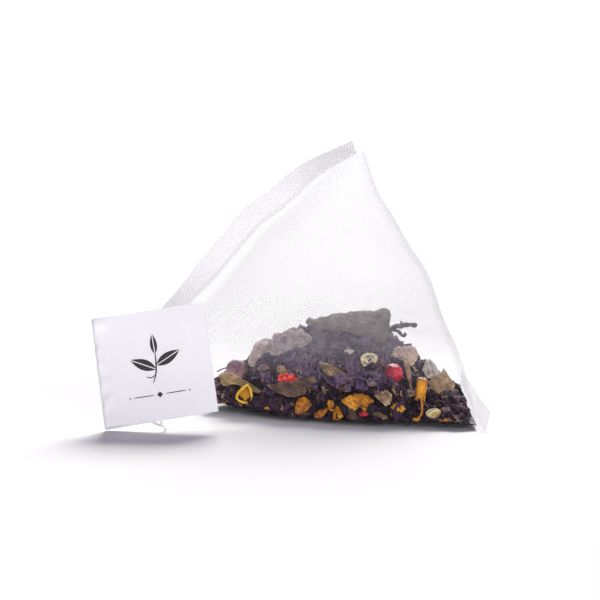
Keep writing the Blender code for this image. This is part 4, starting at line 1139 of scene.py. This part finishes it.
def tag_bulge(x, y, side):
    """How far a ply stands from its flat place: a slow swell, and creases beside the fold."""
    swell = 0.10 * math.sin(math.pi * x / TAG_SIDE) * math.sin(math.pi * y / TAG_SIDE)
    near_fold = math.exp(-((x / 2.2) ** 2))
    crease = noise.noise(Vector((x * 0.9, y * 0.55, 3.0 * side))) * 0.30 * near_fold
    crease += noise.noise(Vector((x * 2.6, y * 1.3, 8.0 * side))) * 0.12 * near_fold
    corner = 0.35 * math.exp(-(((x - 1.2) ** 2 + (y - TAG_SIDE + 1.0) ** 2) / 2.6))
    return swell + crease + corner * (side > 0)


def tag_at(x, y, depth):
    return TAG_CORNER + TAG_LIFT + TAG_RIGHT * x + TAG_UP * y + TAG_BACK * depth


def ply_apart(x):
    """How far a ply's middle is from the tag's middle: the plies close up away from the fold."""
    return FOLD_RADIUS - 0.45 * max(0, min(1, (x - 2) / 8))


def tag_front(x, y, proud):
    """A point that stands proud of the front ply's outer side."""
    return tag_at(x, y, -ply_apart(x) - tag_bulge(x, y, 1) - PAPER / 2 - proud)


def make_tag(paper):
    """The folded strip: back ply, the round of the fold, front ply."""
    radius, rows, across = FOLD_RADIUS, 56, 44
    flat = [x for x in (TAG_SIDE * (1 - n / across) for n in range(across)) if x > radius]
    arc = [("arc", a) for a in np.linspace(math.pi / 2, 3 * math.pi / 2, 17)]
    profile = [("back", x) for x in flat] + arc + [("front", x) for x in flat[::-1]]
    middle = []
    for r in range(rows + 1):
        y = TAG_SIDE * r / rows
        line = []
        for kind, value in profile:
            if kind == "arc":
                x = radius + radius * math.cos(value)
                depth = radius * math.sin(value)
                bulge = tag_bulge(x, y, 1 if depth < 0 else -1) * abs(math.sin(value))
                depth += bulge * (-1 if depth < 0 else 1)
                x += 0.10 * noise.noise(Vector((y * 0.8, 1, 1)))
            else:
                x = value
                side = 1 if kind == "front" else -1
                depth = (ply_apart(x) + tag_bulge(x, y, side)) * -side
            line.append(tag_at(x, y, depth))
        middle.append(line)
    middle = np.array(middle)
    half = unit(np.cross(np.gradient(middle, axis=0), np.gradient(middle, axis=1))) * PAPER / 2
    points = np.vstack([(middle + half).reshape(-1, 3), (middle - half).reshape(-1, 3)])
    faces = grid_faces(rows, len(profile) - 1)
    plies = 2 * rows * (len(profile) - 1)
    rim = [(b, a, d, c) for a, b, c, d in faces[plies:]]
    faces = [(a, d, c, b) for a, b, c, d in faces[:plies]] + rim
    points[:, 2] = np.maximum(points[:, 2], 0.02)
    tag = add_mesh("paper_tag", points, faces, [paper])
    tag.data.set_sharp_from_angle(angle=math.radians(40))
    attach(tag, "root")
    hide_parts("tag")


def paper_material():
    m = Nodes("tag_paper_fibre")
    place = m.place()
    fibre = m.noise(place, 2600.0, 5.0, 0.7, 0.6)
    cloud = m.noise(place, 160.0, 3.0, 0.5)
    value = m.math("MULTIPLY_ADD", fibre, 0.5, m.math("MULTIPLY", cloud, 0.5))
    m.link(m.ramp(value, ((0.3, (0.80, 0.79, 0.83)), (0.7, (0.86, 0.855, 0.885)))), "Base Color")
    m.finish(0.8, 0.25)
    m.bump(fibre, 0.35, 0.00006)
    return m.material


def ink_material():
    m = Nodes("tag_ink")
    speck = m.noise(m.place(), 4200.0, 3.0, 0.6)
    m.link(m.ramp(speck, ((0.35, (0.012, 0.012, 0.014)), (0.75, (0.05, 0.05, 0.055)))), "Base Color")
    m.finish(0.6)
    return m.material


make_tag(paper_material())


def stroke(points, width, ends=0.35):
    """The two sides of a drawn line on the tag's front ply, thinner toward its ends."""
    line = smooth_path([(x, y, 0) for x, y in points], 10 * len(points))[:, :2]
    along = unit(np.gradient(line, axis=0))
    across = np.stack([-along[:, 1], along[:, 0]], 1)
    share = np.linspace(0, 1, len(line))
    half = width / 2 * (ends + (1 - ends) * np.sin(math.pi * share) ** 0.5)
    return line + across * half[:, None], line - across * half[:, None]


def make_print():
    """A sprig of three leaves, over a short rule with a lozenge and dots."""
    points, faces = [], []

    def solid(loop_a, loop_b):
        """A thin closed strip of ink between two lines on the tag."""
        start = len(points)
        n = len(loop_a)
        for proud in (0.035, 0.01):
            for a, b in zip(loop_a, loop_b):
                points.append(tag_front(*a, proud))
                points.append(tag_front(*b, proud))
        size = 2 * n
        for i in range(n - 1):
            a = start + 2 * i
            faces.append((a, a + 1, a + 3, a + 2))
            faces.append((a + size, a + size + 2, a + size + 3, a + size + 1))
            faces.append((a, a + 2, a + size + 2, a + size))
            faces.append((a + 1, a + size + 1, a + size + 3, a + 3))
        last = start + 2 * (n - 1)
        faces.append((start, start + size, start + size + 1, start + 1))
        faces.append((last, last + 1, last + size + 1, last + size))

    def leaf_shape(x, y, angle, long, wide):
        """Two halves with a clear vein between them."""
        c, s = math.cos(math.radians(angle)), math.sin(math.radians(angle))
        share = np.linspace(0.0, 1, 26)
        edge = wide / 2 * np.sin(math.pi * share**0.85) ** 0.9
        for sign in (1, -1):
            near = np.stack([share * long, np.full(26, sign * 0.09)], 1)
            far = np.stack([share * long, sign * np.maximum(edge, 0.1)], 1)
            turn = np.array([[c, s], [-s, c]])
            solid(near @ turn + [x, y], far @ turn + [x, y])

    cx, rule = 10.6, 4.6
    solid(*stroke([(cx - 0.9, 6.9), (cx - 0.25, 8.6), (cx, 10.6), (cx + 0.05, 12.4)], 0.26))
    leaf_shape(cx - 0.15, 9.4, 152, 5.0, 2.0)
    leaf_shape(cx + 0.05, 10.1, 26, 5.0, 2.0)
    leaf_shape(cx + 0.03, 12.2, 92, 3.9, 1.25)
    solid(*stroke([(cx - 0.35, 8.3), (cx - 1.2, 7.9), (cx - 2.0, 8.2)], 0.2))
    for sign in (-1, 1):
        solid(*stroke([(cx + sign * x, rule) for x in (1.1, 2.9, 4.7)], 0.17, 0.6))
        solid(*stroke([(cx + sign * x, rule) for x in (5.3, 5.5)], 0.34, 0.8))
    left, right = (cx - 0.55, rule), (cx + 0.55, rule)
    solid(np.array([left, (cx, 5.15), right]), np.array([left, (cx, 4.05), right]))
    ink = add_mesh("tag_print", points, faces, [ink_material()], smooth=False)
    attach(ink, "root")


make_print()


# String: one length, from the bag's left corner through its coil to the tag

STRING = 0.45
LOW = STRING / 2 + 0.02
HIGH = LOW + 0.47
COIL_X, COIL_Y = -0.636 * FLAT, -0.222 * FLAT
INNER_TURN, OUTER_TURN = 2.46, 2.95
COIL_REACH = 2.7 + 0.55 + 0.3 + STRING / 2
# The coil's stops: degrees, radius and height, in two layers of two turns
COIL = ((20, COIL_REACH, LOW), (-40, OUTER_TURN, LOW), (-330, OUTER_TURN, LOW), (-400, INNER_TURN, LOW),
        (-690, INNER_TURN, LOW), (-760, INNER_TURN, HIGH), (-1050, INNER_TURN, HIGH),
        (-1120, OUTER_TURN, HIGH), (-1430, OUTER_TURN, HIGH), (-1468, COIL_REACH, LOW))


def string_route():
    """The string's points: down from the seal, round the coil and up between the tag's plies."""
    corner = np.array(UPPER_SEAL_EDGE[0]) * FLAT
    leave = corner + unit(np.array([-0.15, -0.25, -1])) * (0.5 + STRING / 2)
    route = [leave, leave + [-0.3, -0.6, -1.4]]
    for x, y in ((-0.613, -0.082), (-0.602, -0.125), (-0.587, -0.172)):
        route.append((x * FLAT, y * FLAT, LOW))
    angles, radii, heights = np.array(COIL, float).T
    for angle in np.linspace(angles[0], angles[-1], 100):
        radius, a = np.interp(-angle, -angles, radii), math.radians(angle)
        z = np.interp(-angle, -angles, heights)
        route.append((COIL_X + radius * math.cos(a), COIL_Y + radius * math.sin(a), z))
    for x, y in ((-0.588, -0.285), (-0.567, -0.345), (-0.544, -0.405), (-0.544, -0.442)):
        route.append((x * FLAT, y * FLAT, LOW))
    route += [tag_at(10.3, -1.35, 0.10), tag_at(10.1, -0.60, -0.10), tag_at(10.0, 0.3, 0)]
    return route + [tag_at(10.0, 2.0, 0), tag_at(9.9, 5.0, 0), tag_at(10.0, 8.0, 0)]


def string_material():
    m = Nodes("cotton_thread")
    fibre = m.noise(m.place(), 5200.0, 4.0, 0.7)
    m.link(m.ramp(fibre, ((0.3, (0.78, 0.77, 0.74)), (0.7, (0.93, 0.92, 0.90)))), "Base Color")
    m.finish(0.85)
    m.bump(fibre, 0.5, 0.00006)
    return m.material


def make_string():
    """Three strands twisted once every 1.3 mm."""
    path = smooth_path(string_route(), 1100)
    path[:, 2] = np.maximum(path[:, 2], LOW)
    step = length_of(path) / (len(path) - 1)
    strands, sides, lay = 3, 12, 1.3
    points = []
    for n, (p, side, up) in enumerate(frames_along(path, [0.2, 1, 0.1])):
        twist = n * step * 2 * math.pi / lay
        for k in range(sides):
            a = 2 * math.pi * k / sides
            r = STRING / 2 * (0.86 + 0.14 * math.cos(strands * (a - twist)))
            points.append(p + (side * math.cos(a) + up * math.sin(a)) * r)
    string = add_mesh("cotton_string", points, tube_faces(len(path) - 1, sides), [string_material()])
    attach(string, "root")
    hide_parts("string_from_bag", "string_to_tag", "string_coil")


make_string()


# Floor and light


SKY_LOW, SKY_HIGH = 0.05, 0.27
SKY_TINT = (0.93, 0.86, 1.16)
BAND_LIGHT, BAND_TOP = 1.06, 0.16
BAND_TINT = (1.0, 0.985, 1.0)
HORIZON = 0.05
FLOOR_RADIUS, FLOOR_Y = 0.22, -0.05


def make_floor():
    """A matt white disc."""
    m = Nodes("floor_white")
    m.shader.inputs["Base Color"].default_value = (0.82, 0.82, 0.825, 1)
    m.finish(0.9, 0.0)
    mesh = bpy.data.meshes.new("floor")
    turns = [2 * math.pi * n / 96 for n in range(96)]
    rim = [(FLOOR_RADIUS * math.cos(a), FLOOR_RADIUS * math.sin(a) + FLOOR_Y, 0) for a in turns]
    mesh.from_pydata(rim, [], [tuple(range(96))])
    mesh.materials.append(m.material)
    floor = bpy.data.objects.new("floor", mesh)
    bpy.context.scene.collection.objects.link(floor)


def area_light(name, place, size, power, colour):
    """A square light that faces the bag."""
    data = bpy.data.lights.new(name, "AREA")
    data.shape = "SQUARE"
    data.size = size
    data.energy = power
    data.color = colour
    lamp = bpy.data.objects.new(name, data)
    lamp.location = place
    lamp.rotation_euler = (Vector((0, 0, 0.01)) - Vector(place)).to_track_quat("-Z", "Y").to_euler()
    bpy.context.scene.collection.objects.link(lamp)


def make_sky():
    """Dim light that rises toward the top, and a white band at the horizon."""
    world = bpy.data.worlds.new("studio")
    world.use_nodes = True
    tree = world.node_tree
    back = tree.nodes["Background"]
    way = tree.nodes.new("ShaderNodeTexCoord").outputs["Generated"]
    parts = tree.nodes.new("ShaderNodeSeparateXYZ")
    tree.links.new(way, parts.inputs[0])
    most = tree.nodes.new("ShaderNodeVectorMath")
    most.operation = "MAXIMUM"
    bands = ((1.0, SKY_LOW, SKY_HIGH, SKY_TINT), (BAND_TOP, BAND_LIGHT, 0.0, BAND_TINT))
    for slot, (top, low, high, colour) in enumerate(bands):
        rise = tree.nodes.new("ShaderNodeMapRange")
        for key, value in (("From Min", HORIZON), ("From Max", top), ("To Min", low), ("To Max", high)):
            rise.inputs[key].default_value = value
        tree.links.new(parts.outputs["Z"], rise.inputs["Value"])
        tint = tree.nodes.new("ShaderNodeVectorMath")
        tint.operation = "SCALE"
        tint.inputs[0].default_value = colour
        tree.links.new(rise.outputs[0], tint.inputs["Scale"])
        tree.links.new(tint.outputs[0], most.inputs[slot])
    tree.links.new(most.outputs[0], back.inputs["Color"])
    back.inputs["Strength"].default_value = 1.0
    bpy.context.scene.world = world


make_floor()
make_sky()
area_light("key", (0.35, 3.70, 2.50), 1.8, 365.0, (1.0, 0.985, 0.95))
area_light("front", (0.25, -0.98, 0.16), 0.45, 7.6, (1.0, 0.98, 0.98))
view = bpy.context.scene.view_settings
view.view_transform, view.look = "Standard", "None"
view.exposure, view.gamma = 0.0, 1.0
